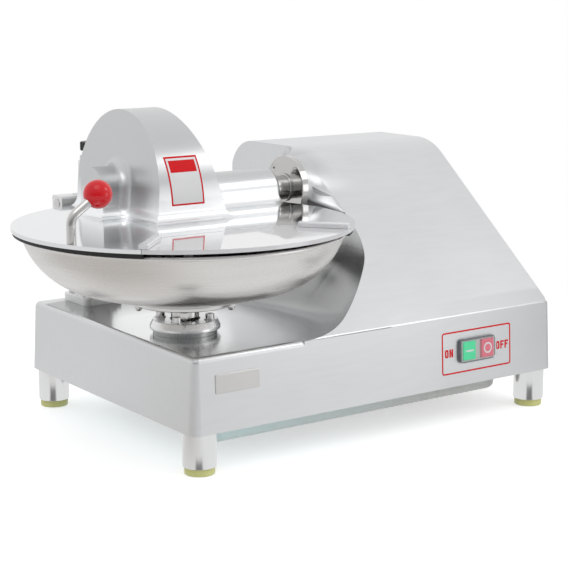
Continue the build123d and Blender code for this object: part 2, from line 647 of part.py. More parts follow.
def gearbox_case():
    top = DECK_Z - WALL - SEAT
    inner = WHEEL_RADIUS + CASE_GAP
    low = CASE_Z
    case = rod_z(inner + CASE_WALL, low, top, BOWL_X, BOWL_Y)
    tunnel = WORM_RADIUS + CASE_GAP + CASE_WALL
    case += block((BOWL_X - CASE_HALF, BOWL_X + CASE_HALF), (BOWL_Y, WORM_Y + tunnel),
                  (MOTOR_HEIGHT - tunnel, MOTOR_HEIGHT + tunnel))
    case -= rod_z(inner, low + BEARING_WIDTH + 2, top - BEARING_WIDTH - 2, BOWL_X, BOWL_Y)
    pocket = CASE_HALF - CASE_WALL
    hollow = rod_x(tunnel - CASE_WALL, BOWL_X - pocket + BEARING_WIDTH, BOWL_X + pocket - BEARING_WIDTH,
                   WORM_Y, MOTOR_HEIGHT)
    hollow += rod_x(WORM_BEARING + FIT, BOWL_X - pocket, BOWL_X + pocket, WORM_Y, MOTOR_HEIGHT)
    hollow += rod_x(WORM_JOURNAL + 1, BOWL_X, BOWL_X + CLEAR, WORM_Y, MOTOR_HEIGHT)
    case -= hollow
    case -= rod_z(BEARING_RADIUS + FIT, low + 2, top + 1, BOWL_X, BOWL_Y)
    for x, y in around(DECK_BOLT_CIRCLE, DECK_BOLT_TURN, 4):
        case -= rod_z(POST_BOLT + SCREW_GAP, top - 10, top + 1, x, y)
    return case


def spindle_bearings():
    top = DECK_Z - WALL - SEAT
    rings = [
        rod_z(BEARING_RADIUS, z, z + BEARING_WIDTH, BOWL_X, BOWL_Y) - rod_z(
            SPINDLE_RADIUS + FIT, 0, CLEAR, BOWL_X, BOWL_Y)
        for z in (CASE_Z + 2, top - BEARING_WIDTH - 0.5)
    ]
    return Compound(children=rings)


def worm_bearings():
    pocket = CASE_HALF - CASE_WALL
    rings = [
        rod_x(WORM_BEARING, x, x + BEARING_WIDTH, WORM_Y, MOTOR_HEIGHT) - rod_x(
            WORM_JOURNAL + FIT, -CLEAR, CLEAR, WORM_Y, MOTOR_HEIGHT)
        for x in (BOWL_X - pocket, BOWL_X + pocket - BEARING_WIDTH)
    ]
    return Compound(children=rings)


# ---------------------------------------------------------------- bowl and spindle
def bowl_spindle():
    shoulder = PLATE_Z + PLATE_THICK
    spindle = rod_z(SPINDLE_RADIUS, CASE_Z + 3, shoulder, BOWL_X, BOWL_Y)
    tip = BOWL_CROWN_Z + BOWL_NUT_HEIGHT + 3
    spindle += rod_z(SPINDLE_NECK, shoulder, tip, BOWL_X, BOWL_Y)
    return chamfer(spindle.edges().sort_by(Axis.Z)[-1], 1.5)


def drive_plate():
    low = DECK_Z + DECK_FLANGE_HEIGHT + 3
    plate = rod_z(PLATE_RADIUS, PLATE_Z, PLATE_Z + PLATE_THICK, BOWL_X, BOWL_Y)
    plate = chamfer(plate.edges().filter_by(GeomType.CIRCLE), 0.8)
    plate += rod_z(HUB_BOSS_RADIUS, low, PLATE_Z + 1, BOWL_X, BOWL_Y)
    for x, y in around(ACORN_CIRCLE, ACORN_TURN, 4):
        plate -= rod_z(3 + FIT, 0, CLEAR, x, y)
    return plate - rod_z(SPINDLE_RADIUS + FIT, 0, CLEAR, BOWL_X, BOWL_Y)


def trough(radius):
    return Pos(KNIFE_OFFSET, KNIFE_HEIGHT) * Circle(radius)


def bowl_hub():
    """Turned ring that fills the hollow under the bowl's middle."""
    low = PLATE_Z + PLATE_THICK
    top = BOWL_CROWN_Z - BOWL_SHEET - SEAT
    outer = ACORN_CIRCLE + 6
    sketch = Pos((SPINDLE_NECK + FIT + outer) / 2, (low + top) / 2) * Rectangle(
        outer - SPINDLE_NECK - FIT, top - low)
    ring = revolve(Plane.XZ * (sketch - trough(BOWL_OUTER + SEAT)), Axis.Z)
    ring = Pos(BOWL_X, BOWL_Y, 0) * ring
    for x, y in around(ACORN_CIRCLE, ACORN_TURN, 4):
        ring -= rod_z(3 + FIT, low - 1, low + PLATE_THICK + 0.5, x, y)
    return ring


def bowl():
    """Spun bowl: a trough round the knife circle, a flat crown in the middle and a rolled rim."""
    bead_r = KNIFE_OFFSET + sqrt(BOWL_OUTER ** 2 - (KNIFE_HEIGHT - BOWL_RIM_Z + BOWL_BEAD) ** 2)
    bead_z = BOWL_RIM_Z - BOWL_BEAD
    sheet = trough(BOWL_OUTER) - trough(TROUGH_RADIUS)
    low = KNIFE_HEIGHT - BOWL_OUTER - 1
    far = Pos(KNIFE_OFFSET + CLEAR / 2, (low + bead_z) / 2) * Rectangle(CLEAR, bead_z - low)
    near = Pos(KNIFE_OFFSET / 2, (low + BOWL_CROWN_Z) / 2) * Rectangle(KNIFE_OFFSET, BOWL_CROWN_Z - low)
    edge = KNIFE_OFFSET - sqrt(BOWL_OUTER ** 2 - (KNIFE_HEIGHT - BOWL_CROWN_Z + BOWL_SHEET) ** 2)
    hole = SPINDLE_NECK + FIT
    crown = Pos((hole + edge + 0.5) / 2, BOWL_CROWN_Z - BOWL_SHEET / 2) * Rectangle(
        edge + 0.5 - hole, BOWL_SHEET)
    bead = Pos(bead_r - 0.5, bead_z) * Circle(BOWL_BEAD)
    profile = (sheet & (far + near)) + crown + bead
    return Pos(BOWL_X, BOWL_Y, 0) * revolve(Plane.XZ * profile, Axis.Z)


def bowl_nut():
    nut = extrude(RegularPolygon(BOWL_NUT_RADIUS, 6), BOWL_NUT_HEIGHT)
    nut = nut & Pos(0, 0, BOWL_NUT_HEIGHT / 2) * Cylinder(BOWL_NUT_RADIUS * 0.96, BOWL_NUT_HEIGHT)
    nut -= Cylinder(SPINDLE_NECK + FIT, CLEAR)
    return Pos(BOWL_X, BOWL_Y, BOWL_CROWN_Z) * nut


def acorn_screws():
    screws = [Pos(x, y, PLATE_Z) * acorn_screw() for x, y in around(ACORN_CIRCLE, ACORN_TURN, 4)]
    return Compound(children=screws)


def deck_flange():
    top = DECK_Z + DECK_FLANGE_HEIGHT
    neck = DECK_FLANGE_RADIUS - DECK_FLANGE_LIP
    lip_z = top - 3 * DECK_FLANGE_LIP
    flange = rod_z(DECK_FLANGE_RADIUS, lip_z, lip_z + DECK_FLANGE_LIP, BOWL_X, BOWL_Y)
    rim = flange.edges().filter_by(GeomType.CIRCLE).sort_by(Axis.Z)
    flange = fillet(rim[0], DECK_FLANGE_LIP / 4)
    flange += rod_z(neck, DECK_Z, lip_z + 1, BOWL_X, BOWL_Y)
    flare = Cone(DECK_FLANGE_RADIUS, neck, 2 * DECK_FLANGE_LIP)
    flange += Pos(BOWL_X, BOWL_Y, top - DECK_FLANGE_LIP) * flare
    flange += rod_z(DECK_SPIGOT, DECK_Z - WALL, DECK_Z + 1, BOWL_X, BOWL_Y)
    flange -= rod_z(SEAL_OUTER + FIT, top - 5, top + 1, BOWL_X, BOWL_Y)
    for x, y in around(DECK_BOLT_CIRCLE, DECK_BOLT_TURN, 4):
        flange -= rod_z(POST_BOLT + SCREW_GAP, 0, CLEAR, x, y)
    return flange - rod_z(SPINDLE_RADIUS + 0.5, 0, CLEAR, BOWL_X, BOWL_Y)


def spindle_seal():
    top = DECK_Z + DECK_FLANGE_HEIGHT
    ring = rod_z(SEAL_OUTER, top - 5, top + 0.5, BOWL_X, BOWL_Y)
    return ring - rod_z(SPINDLE_RADIUS + FIT, 0, CLEAR, BOWL_X, BOWL_Y)


def deck_flange_bolts():
    bolt = cap_screw(POST_BOLT, DECK_FLANGE_HEIGHT + WALL + 6, 5.6, 6.5)
    washer = Pos(0, 0, 0.6) * Cylinder(7.2, 1.2)
    place = DECK_Z + DECK_FLANGE_HEIGHT
    bolts = [Pos(x, y, place) * (Pos(0, 0, 1.2) * bolt + washer) for x, y in around(
        DECK_BOLT_CIRCLE, DECK_BOLT_TURN, 4)]
    return Compound(children=bolts)


# ---------------------------------------------------------------- knife shaft
def bearing_housing():
    x0, x1 = FLANGE_X, FLANGE_X + FLANGE_THICK
    housing = fillet(rod_x(FLANGE_RADIUS, x0, x1, KNIFE_Y, KNIFE_HEIGHT).edges().sort_by(Axis.X)[0], 1)
    housing += rod_x(TUBE_RADIUS, x0 + 1, x0 + TUBE_LENGTH, KNIFE_Y, KNIFE_HEIGHT)
    housing -= rod_x(BEARING_RADIUS + FIT, x0 + SEAL_WIDTH + 1, CLEAR, KNIFE_Y, KNIFE_HEIGHT)
    housing -= rod_x(SLEEVE_RADIUS + 0.6, 0, x1, KNIFE_Y, KNIFE_HEIGHT)
    for y, z in around(FLANGE_SCREW_CIRCLE, 45, 4, KNIFE_Y, KNIFE_HEIGHT):
        housing -= rod_x(SMALL_SCREW + SCREW_GAP, 0, CLEAR, y, z)
        housing -= Pos(x0 + 1.6, y, z) * Rot(0, 90, 0) * Cone(SMALL_SCREW * 2.1, SMALL_SCREW, 3.4)
    return housing


def knife_bearings():
    places = (FLANGE_X + SEAL_WIDTH + 14, FLANGE_X + TUBE_LENGTH - BEARING_WIDTH)
    rings = [
        rod_x(BEARING_RADIUS, x, x + BEARING_WIDTH, KNIFE_Y, KNIFE_HEIGHT) - rod_x(
            SHAFT_RADIUS + FIT, 0, CLEAR, KNIFE_Y, KNIFE_HEIGHT)
        for x in places
    ]
    return Compound(children=rings)


def shaft_seal():
    ring = rod_x(SEAL_RADIUS, FLANGE_X - 3, FLANGE_X - 0.05, KNIFE_Y, KNIFE_HEIGHT)
    ring = fillet(ring.edges().filter_by(GeomType.CIRCLE).sort_by(Axis.X)[0], 1)
    return ring - rod_x(SLEEVE_RADIUS + FIT, -CLEAR, CLEAR, KNIFE_Y, KNIFE_HEIGHT)


def flange_screws():
    head = Pos(0, 0, -1.6) * Cone(SMALL_SCREW, SMALL_SCREW * 1.95, 3.0)
    socket = Pos(0, 0, -1.4) * extrude(RegularPolygon(SMALL_SCREW * 0.9, 6), 3)
    screw = head + Pos(0, 0, -FLANGE_SCREW_LENGTH / 2) * Cylinder(SMALL_SCREW, FLANGE_SCREW_LENGTH) - socket
    places = around(FLANGE_SCREW_CIRCLE, 45, 4, KNIFE_Y, KNIFE_HEIGHT)
    return Compound(children=[Pos(FLANGE_X, y, z) * Rot(0, -90, 0) * screw for y, z in places])


def knife_shaft():
    seat = BOWL_X + KNIFE_SPACING / 2 + KNIFE_THICK / 2
    shaft = rod_x(SHAFT_RADIUS, SHAFT_LEFT, PULLEY_X + PULLEY_WIDTH / 2 + 3, KNIFE_Y, KNIFE_HEIGHT)
    shaft += rod_x(SLEEVE_RADIUS, seat, FLANGE_X + SEAL_WIDTH - 1, KNIFE_Y, KNIFE_HEIGHT)
    return chamfer(shaft.edges().sort_by(Axis.X)[0], 1)


def blade(turn):
    """One sickle knife in the plane x = 0, its middle on the shaft: round hub, crescent arm, ground edge."""
    arm_radius = KNIFE_RADIUS * 0.63
    out = KNIFE_RADIUS - arm_radius
    back_radius = arm_radius * 0.87
    edge_circle = Pos(out, 0) * Circle(arm_radius)
    back_circle = Pos(out * 1.22, -out * 0.76) * Circle(back_radius)
    heel = Pos(0, arm_radius - KNIFE_HUB * 0.5) * Rectangle(4 * arm_radius, 2 * arm_radius)
    arm = (edge_circle - back_circle) & heel
    solid = prism_x(arm, -KNIFE_THICK / 2, KNIFE_THICK / 2)
    ground = KNIFE_THICK / 2
    section = Polyline((arm_radius - KNIFE_BEVEL, ground), (arm_radius + 1, ground),
                       (arm_radius + 1, -ground + 0.4), (arm_radius, -ground + 0.4), close=True)
    cutter = revolve(Plane.XZ * make_face(section), Axis.Z)
    solid -= Pos(0, out, 0) * Rot(0, 90, 0) * cutter
    solid += rod_x(KNIFE_HUB, -KNIFE_THICK / 2, KNIFE_THICK / 2, 0, 0)
    solid -= rod_x(SHAFT_RADIUS + FIT, -CLEAR, CLEAR, 0, 0)
    return Rot(turn, 0, 0) * solid


def knife_spacers():
    """The ring between the knives and the ring under the nut."""
    half = KNIFE_SPACING / 2 - KNIFE_THICK / 2
    left = BOWL_X - KNIFE_SPACING / 2 - KNIFE_THICK / 2
    bore = rod_x(SHAFT_RADIUS + FIT, -CLEAR, CLEAR, KNIFE_Y, KNIFE_HEIGHT)
    middle = rod_x(KNIFE_HUB - 4, BOWL_X - half, BOWL_X + half, KNIFE_Y, KNIFE_HEIGHT)
    outer = rod_x(KNIFE_HUB - 4, left - 9, left, KNIFE_Y, KNIFE_HEIGHT)
    return Compound(children=[middle - bore, outer - bore])


def knife_nut():
    left = BOWL_X - KNIFE_SPACING / 2 - KNIFE_THICK / 2 - 9
    nut = extrude(RegularPolygon(18, 6), KNIFE_NUT) & Pos(0, 0, KNIFE_NUT / 2) * Cylinder(17.2, KNIFE_NUT)
    nut -= Cylinder(SHAFT_RADIUS + FIT, CLEAR)
    return Pos(left - KNIFE_NUT, KNIFE_Y, KNIFE_HEIGHT) * Rot(0, 90, 0) * nut


# ---------------------------------------------------------------- lid
def dome_shape(inset):
    """The arch over the knives, shrunk by inset on all its outer faces."""
    radius = DOME_RADIUS - inset
    arch = Pos(KNIFE_Y, DOME_Z) * Circle(radius)
    low = LID_Z if inset == 0 else GASKET_FLOOR
    arch += Pos(KNIFE_Y, (low + DOME_Z) / 2) * Rectangle(2 * radius, DOME_Z - low)
    top = DOME_Z + DOME_RADIUS
    left, right = tan(radians(DOME_DRAFT_LEFT)), tan(radians(DOME_DRAFT_RIGHT))
    drop = top - low
    corners = [
        (BOWL_X - DOME_HALF_TOP + inset, top),
        (BOWL_X + DOME_HALF_TOP - inset, top),
        (BOWL_X + DOME_HALF_TOP - inset + drop * right, low),
        (BOWL_X - DOME_HALF_TOP + inset - drop * left, low),
    ]
    sides = prism_y(make_face(Polyline(*corners, close=True)), -CLEAR, CLEAR)
    return prism_x(arch, BOWL_X - CLEAR / 2, BOWL_X + CLEAR / 2) & sides


def tunnel_shape(inset):
    """The half-round tunnel over the shaft, from the dome to its right end."""
    radius = TUNNEL_RADIUS - inset
    low = LID_Z if inset == 0 else GASKET_FLOOR
    slot = Pos(KNIFE_Y, KNIFE_HEIGHT) * Circle(radius)
    slot += Pos(KNIFE_Y, (low + KNIFE_HEIGHT) / 2) * Rectangle(2 * radius, KNIFE_HEIGHT - low)
    return prism_x(slot, BOWL_X, TUNNEL_END if inset == 0 else TUNNEL_END + 1)


def nose_shape(inset):
    """The round-topped nose over the shaft's free end and its nut."""
    radius = NOSE_HALF - inset
    low = LID_Z if inset == 0 else GASKET_FLOOR
    middle = NOSE_TOP - NOSE_HALF
    slot = Pos(KNIFE_Y, middle) * Circle(radius)
    slot += Pos(KNIFE_Y, (low + middle) / 2) * Rectangle(2 * radius, middle - low)
    return prism_x(slot, BOWL_X - NOSE_REACH + inset, BOWL_X)


def lid_disc(radius, z0, z1):
    return rod_z(radius, z0, z1, BOWL_X, BOWL_Y)


def flap_sector(grow):
    """Sector of the lid in front of the flap's pivot, widened by grow."""
    far = LID_RADIUS * 2
    half = radians(FLAP_HALF)
    middle = radians(FLAP_ANGLE)
    shift = grow / sin(half)
    tip = (-shift * cos(middle), -shift * sin(middle))
    ends = [(tip[0] + far * cos(middle + a), tip[1] + far * sin(middle + a)) for a in (-half, half)]
    wedge = make_face(Polyline(tip, *ends, close=True))
    front = Pos(0, -FLAP_CHORD + grow - far / 2) * Rectangle(2 * far, far)
    return Pos(BOWL_X, BOWL_Y, 0) * (wedge & front)


def foot_edges(lid):
    """Where the dome, the tunnel and the nose stand on the lid's plate."""
    low = [e for e in lid.edges() if abs(e.center().Z - LID_TOP) < 0.01 and e.bounding_box().size.Z < 0.01]
    return [e for e in low if e.length < LID_RADIUS]


def corner_edges(lid):
    """Where the tunnel and the nose run into the dome."""
    return [
        e for e in lid.edges()
        if LID_TOP + 0.1 < e.center().Z < NOSE_TOP + 1
        and abs(e.center().Y - KNIFE_Y) < NOSE_HALF + 1
        and -NOSE_REACH / 2 - 2 < e.center().X - BOWL_X < NOSE_REACH
    ]


def lid_casting():
    inside = lid_disc(LID_RADIUS - LID_WALL, GASKET_FLOOR, CLEAR * 2)
    tunnel = tunnel_shape(0)
    end = tunnel.faces().sort_by(Axis.X)[-1]
    tunnel = fillet([e for e in end.edges() if e.center().Z > LID_TOP], TUNNEL_END_ROUND)
    lid = lid_disc(LID_RADIUS + CLEAR / 4, LID_Z, LID_TOP) + dome_shape(0) + nose_shape(0) + tunnel
    lid = fillet(foot_edges(lid) + corner_edges(lid), FOOT_ROUND)
    lid = (lid & lid_disc(LID_RADIUS, LID_Z, CLEAR * 2)) + tunnel
    tongue = block((BOWL_X - ARM_HALF, BOWL_X + ARM_HALF), (KNIFE_Y + DOME_RADIUS * 0.6, KNOB_Y),
                   (TONGUE_Z, TONGUE_Z + TONGUE_THICK))
    tongue += rod_z(ARM_HALF, TONGUE_Z, TONGUE_Z + TONGUE_THICK, BOWL_X, KNOB_Y)
    heel_front = KNIFE_Y + DOME_RADIUS - LID_WALL
    heel = block((BOWL_X - ARM_HALF, BOWL_X + ARM_HALF), (heel_front, KNOB_Y - ARM_BACK),
                 (LID_Z, LID_Z + HEEL_HEIGHT))
    lid += tongue + heel
    slot = lid_disc(GASKET_INNER - 0.5, GASKET_FLOOR, LID_TOP + 0.5)
    hollow = dome_shape(LID_WALL) & inside
    above = block((-CLEAR * 2, CLEAR * 2), (-CLEAR, CLEAR), (LID_TOP, CLEAR * 2))
    lid -= (hollow & above) + (hollow & slot) + tunnel_shape(LID_WALL) + nose_shape(LID_WALL)
    lid -= extrude(Pos(0, 0, LID_Z - 1) * flap_sector(FLAP_GAP), LID_PLATE + 2)
    for pin in flap_pin_rods(FLAP_PIN_RADIUS + FIT):
        lid -= pin
    lid -= rod_z(STUD_RADIUS + FIT, TONGUE_Z - 1, TONGUE_Z + TONGUE_THICK + 1, BOWL_X, KNOB_Y)
    x, y = around(HANDLE_CIRCLE, HANDLE_TURN, 1)[0]
    return lid - rod_z(HANDLE_STUD + SCREW_GAP, LID_Z - 1, LID_TOP + 1, x, y)


def lid_gasket():
    """Rubber ring under the lid's rim, open at the flap and at the shaft's tunnel."""
    ring = lid_disc(GASKET_OUTER, LID_Z - GASKET_DEPTH, LID_Z) - lid_disc(GASKET_INNER, 0, CLEAR)
    ring -= extrude(Pos(0, 0, LID_Z - 2 * LID_PLATE) * flap_sector(FLAP_GAP), 4 * LID_PLATE)
    half = TUNNEL_RADIUS - LID_WALL
    return ring - block((BOWL_X, CLEAR), (KNIFE_Y - half, KNIFE_Y + half), (0, CLEAR))


def flap_axis():
    return BOWL_Y - FLAP_CHORD - LID_PLATE / 2, LID_Z + LID_PLATE / 2


def flap_end(y, side):
    """Where the line at y crosses one slanting edge of the flap."""
    turn = radians(FLAP_ANGLE + side * FLAP_HALF)
    return BOWL_X + (y - BOWL_Y) * cos(turn) / sin(turn)


def flap_pin_rods(radius):
    """The two pivot pins at the ends of the flap's straight edge."""
    y, z = flap_axis()
    half = FLAP_PIN_LENGTH / 2
    ends = [flap_end(y, side) for side in (-1, 1)]
    return [rod_x(radius, x - half, x + half, y, z) for x in ends]


def flap_plate():
    y, z = flap_axis()
    sector = extrude(Pos(0, 0, LID_Z) * flap_sector(0), LID_PLATE) & lid_disc(LID_RADIUS, LID_Z, LID_TOP)
    behind = block((-CLEAR * 2, CLEAR), (y, CLEAR), (0, CLEAR))
    plate = (sector - behind) + (sector & rod_x(LID_PLATE / 2, -CLEAR * 2, CLEAR, y, z))
    for side in (-1, 1):
        end = flap_end(y + LID_PLATE / 2, side)
        beyond = sorted((end, end + side * CLEAR))
        plate -= block(beyond, (y - FLAP_RELIEF, y + FLAP_RELIEF), (0, CLEAR))
    for pin in flap_pin_rods(FLAP_PIN_RADIUS + FIT):
        plate -= pin
    return plate


def flap_strips():
    """Clear strips along the flap's slanting edges, lapping over the lid's plate."""
    strips = []
    for side in (-1, 1):
        turn = FLAP_ANGLE + side * FLAP_HALF
        inward = STRIP_WIDTH / 2 - STRIP_OVERLAP
        middle = GASKET_OUTER - STRIP_LENGTH / 2
        bar = Box(STRIP_LENGTH, STRIP_WIDTH, STRIP_HEIGHT)
        bar = Pos(middle, -side * inward, LID_TOP + SEAT + STRIP_HEIGHT / 2) * bar
        bar = chamfer(bar.edges().filter_by(Axis.X).group_by(Axis.Z)[-1], 1.2)
        strips.append(Pos(BOWL_X, BOWL_Y, 0) * Rot(0, 0, turn) * bar)
    return Compound(children=strips)


def flap_pins():
    return Compound(children=flap_pin_rods(FLAP_PIN_RADIUS))


def handle_rod():
    """Bent rod screwed into the lid's rim, with a neck for the ball."""
    x, y = around(HANDLE_CIRCLE, HANDLE_TURN, 1)[0]
    corner = (x, y, LID_TOP + HANDLE_RISE)
    tip = (x + HANDLE_REACH, y, corner[2] + HANDLE_LIFT)
    path = FilletPolyline((x, y, LID_TOP), corner, tip, radius=3 * ROD_RADIUS)
    rod = sweep(Plane(origin=(x, y, LID_TOP), z_dir=(0, 0, 1)) * Circle(ROD_RADIUS), path=path)
    return rod + rod_z(HANDLE_STUD, LID_Z, LID_TOP + 1, x, y)


def handle_ball():
    x, y = around(HANDLE_CIRCLE, HANDLE_TURN, 1)[0]
    tip = Vector(x + HANDLE_REACH, y, LID_TOP + HANDLE_RISE + HANDLE_LIFT)
    along = Vector(HANDLE_REACH, 0, HANDLE_LIFT).normalized()
    middle = tip + along * (BALL_RADIUS - BALL_SINK)
    ball = Pos(*middle) * Sphere(BALL_RADIUS)
    bore = Plane(origin=tuple(tip), z_dir=tuple(along)) * Circle(ROD_RADIUS + SCREW_GAP)
    return ball - extrude(bore, -BALL_RADIUS)


# ---------------------------------------------------------------- lid hinge
def hinge_arm():
    """Knuckle on the hinge pin with the column that carries the lid's tongue."""
    arm = rod_x(KNUCKLE_RADIUS, BOWL_X - KNUCKLE_HALF, BOWL_X + KNUCKLE_HALF, HINGE_Y, HINGE_Z)
    column = block((BOWL_X - ARM_HALF, BOWL_X + ARM_HALF), (KNOB_Y - ARM_BACK, KNOB_Y + ARM_BACK),
                   (HINGE_Z - 4, TONGUE_Z))
    arm += fillet(column.edges().filter_by(Axis.Z), 4)
    arm -= rod_x(HINGE_PIN_RADIUS + FIT, -CLEAR * 2, CLEAR, HINGE_Y, HINGE_Z)
    return arm - rod_z(STUD_RADIUS + FIT, TONGUE_Z - STUD_DEPTH - 1, TONGUE_Z + 1, BOWL_X, KNOB_Y)


def hinge_post():
    """Cast post on the deck with the two ears of the lid's hinge."""
    middle = HINGE_Y + POST_SHIFT
    foot_half = POST_BOLT_Y + FOOT_RADIUS / 2
    plan = Pos(BOWL_X, middle) * RectangleRounded(2 * (POST_HALF + POST_TOE), 2 * foot_half, 10)
    post = extrude(Pos(0, 0, DECK_Z) * plan, POST_FOOT)
    shank = Pos(BOWL_X, HINGE_Y) * RectangleRounded(2 * POST_HALF, YOKE_DEPTH, 6)
    post += extrude(Pos(0, 0, DECK_Z) * shank, YOKE_FLOOR - DECK_Z)
    depth = (HINGE_Y - YOKE_DEPTH / 2, HINGE_Y + YOKE_DEPTH / 2)
    yoke = block((BOWL_X - YOKE_HALF, BOWL_X + YOKE_HALF), depth, (YOKE_FLOOR - YOKE_FLOOR_THICK, YOKE_TOP))
    yoke = fillet(yoke.edges().filter_by(Axis.X).group_by(Axis.Z)[-1], YOKE_ROUND)
    open_half = KNUCKLE_HALF + GAP
    gap = block((BOWL_X - open_half, BOWL_X + open_half), (-CLEAR, CLEAR), (YOKE_FLOOR, CLEAR))
    post += yoke - gap
    wide, narrow = YOKE_FLOOR - YOKE_FLOOR_THICK, YOKE_FLOOR - 2 * POST_HALF
    corners = [(-YOKE_HALF, wide), (YOKE_HALF, wide), (POST_HALF, narrow), (-POST_HALF, narrow)]
    gusset = Pos(BOWL_X, 0) * make_face(Polyline(*corners, close=True))
    post += prism_y(gusset, HINGE_Y - GUSSET_HALF, HINGE_Y + GUSSET_HALF)
    post -= rod_x(HINGE_PIN_RADIUS + FIT, -CLEAR * 2, CLEAR, HINGE_Y, HINGE_Z)
    for x, y in post_bolt_places():
        post -= rod_z(POST_BOLT + SCREW_GAP, 0, DECK_Z + POST_FOOT + 1, x, y)
    return post


def hinge_post_bolts():
    bolt = cap_screw(POST_BOLT, POST_FOOT + WALL + 5, 6, 7)
    return Compound(children=[Pos(x, y, DECK_Z + POST_FOOT) * bolt for x, y in post_bolt_places()])


def hinge_pin():
    pin = rod_x(HINGE_PIN_RADIUS, BOWL_X - YOKE_HALF, BOWL_X + YOKE_HALF, HINGE_Y, HINGE_Z)
    for side in (-1, 1):
        ends = sorted((BOWL_X + side * YOKE_HALF, BOWL_X + side * (YOKE_HALF + PIN_HEAD)))
        pin += rod_x(HINGE_PIN_RADIUS + PIN_HEAD, *ends, HINGE_Y, HINGE_Z)
    return pin


def lock_knob():
    """Black hand knob that screws the lid down on the hinge arm."""
    knob = rod_z(KNOB_RADIUS, KNOB_Z, KNOB_Z + KNOB_HEIGHT, BOWL_X, KNOB_Y)
    knob = fillet(knob.edges().filter_by(GeomType.CIRCLE), 1.5)
    for x, y in around(KNOB_RADIUS + KNOB_GRIP * 0.5, 0, KNOB_GRIPS, BOWL_X, KNOB_Y):
        knob -= rod_z(KNOB_GRIP, KNOB_Z - 1, KNOB_Z + KNOB_HEIGHT + 1, x, y)
    low = TONGUE_Z + TONGUE_THICK + SEAT
    knob += rod_z(KNOB_RADIUS * 0.6, low, KNOB_Z + 1, BOWL_X, KNOB_Y)
    return knob - rod_z(STUD_RADIUS, 0, KNOB_Z + 2, BOWL_X, KNOB_Y)


def lock_stud():
    return rod_z(STUD_RADIUS, TONGUE_Z - STUD_DEPTH, KNOB_Z + 2, BOWL_X, KNOB_Y)


# ---------------------------------------------------------------- switch and cable gland
def switch_place(x, depth=0):
    """A plane on the front wall, shifted along it by x and outwards by depth."""
    return face_plane() * Pos(x, 0, depth)


def switch_bezel():
    frame = extrude(face_plane() * RectangleRounded(BEZEL_LENGTH, BEZEL_HEIGHT, BEZEL_CORNER), BEZEL_DEPTH)
    frame = chamfer(frame.faces().sort_by(Axis.Y)[0].edges(), 0.8)
    frame -= extrude(switch_place(0, -1) * Rectangle(BAR_LENGTH, BUTTON_HEIGHT + GAP), BEZEL_DEPTH + 2)
    width = 2 * (BUTTON_SPREAD - BUTTON_LENGTH / 2 - GAP)
    bar = extrude(face_plane() * Rectangle(width, BUTTON_HEIGHT + 2), BEZEL_DEPTH - 1)
    foot = extrude(face_plane() * Rectangle(width, BUTTON_HEIGHT), -SWITCH_SINK)
    return frame + bar + foot


def button(side):
    """Push button: its face stands BUTTON_STAND out of the bezel."""
    depth = BEZEL_DEPTH + BUTTON_STAND - BUTTON_DEPTH
    cap = extrude(switch_place(side * BUTTON_SPREAD, depth) * RectangleRounded(
        BUTTON_LENGTH, BUTTON_HEIGHT, 1.5), BUTTON_DEPTH)
    return fillet(cap.faces().sort_by(Axis.Y)[0].edges(), 1)


def switch_hood():
    """Clear splash cover over the bezel and both buttons."""
    height = BEZEL_DEPTH + BUTTON_STAND + HOOD_STAND
    wide, high = BEZEL_LENGTH + 2 * SEAT, BEZEL_HEIGHT + 2 * SEAT
    plan = RectangleRounded(wide + 2 * HOOD_SHEET, high + 2 * HOOD_SHEET, BEZEL_CORNER + HOOD_SHEET)
    outer = extrude(face_plane() * plan, height)
    outer = fillet(outer.faces().sort_by(Axis.Y)[0].edges(), 2)
    plan = RectangleRounded(wide, high, BEZEL_CORNER)
    inner = extrude(switch_place(0, -1) * plan, height - HOOD_SHEET + 1)
    return outer - inner


def switch_body():
    """Switch block in the front wall's window; a pressed button stops just short of it."""
    return extrude(switch_place(0, -SWITCH_SINK) * RectangleRounded(
        SWITCH_WINDOW[0] - 2 * SEAT, SWITCH_WINDOW[1] - 2 * SEAT, WINDOW_CORNER - SEAT), -SWITCH_BODY_DEPTH)


def cable_gland():
    """Gland in the rear wall, where a supply cord would enter."""
    wall_y = BASE_DEPTH / 2 - (GLAND_Z - FOOT_HEIGHT) * tan(radians(BASE_DRAFT))
    gland = rod_y(GLAND_THREAD, wall_y - WALL - 8, wall_y + 1, GLAND_X, GLAND_Z)
    hexagon = extrude(RegularPolygon(GLAND_THREAD + 5, 6), GLAND_NUT)
    outer = Pos(GLAND_X, wall_y + GLAND_NUT + 0.8, GLAND_Z) * Rot(90, 0, 0) * hexagon
    cap = rod_y(GLAND_THREAD + 2, wall_y + GLAND_NUT, wall_y + 2.6 * GLAND_NUT, GLAND_X, GLAND_Z)
    cap = fillet(cap.edges().filter_by(GeomType.CIRCLE).sort_by(Axis.Y)[-1], 3)
    return gland + outer + cap - rod_y(GLAND_THREAD * 0.5, 0, CLEAR, GLAND_X, GLAND_Z)


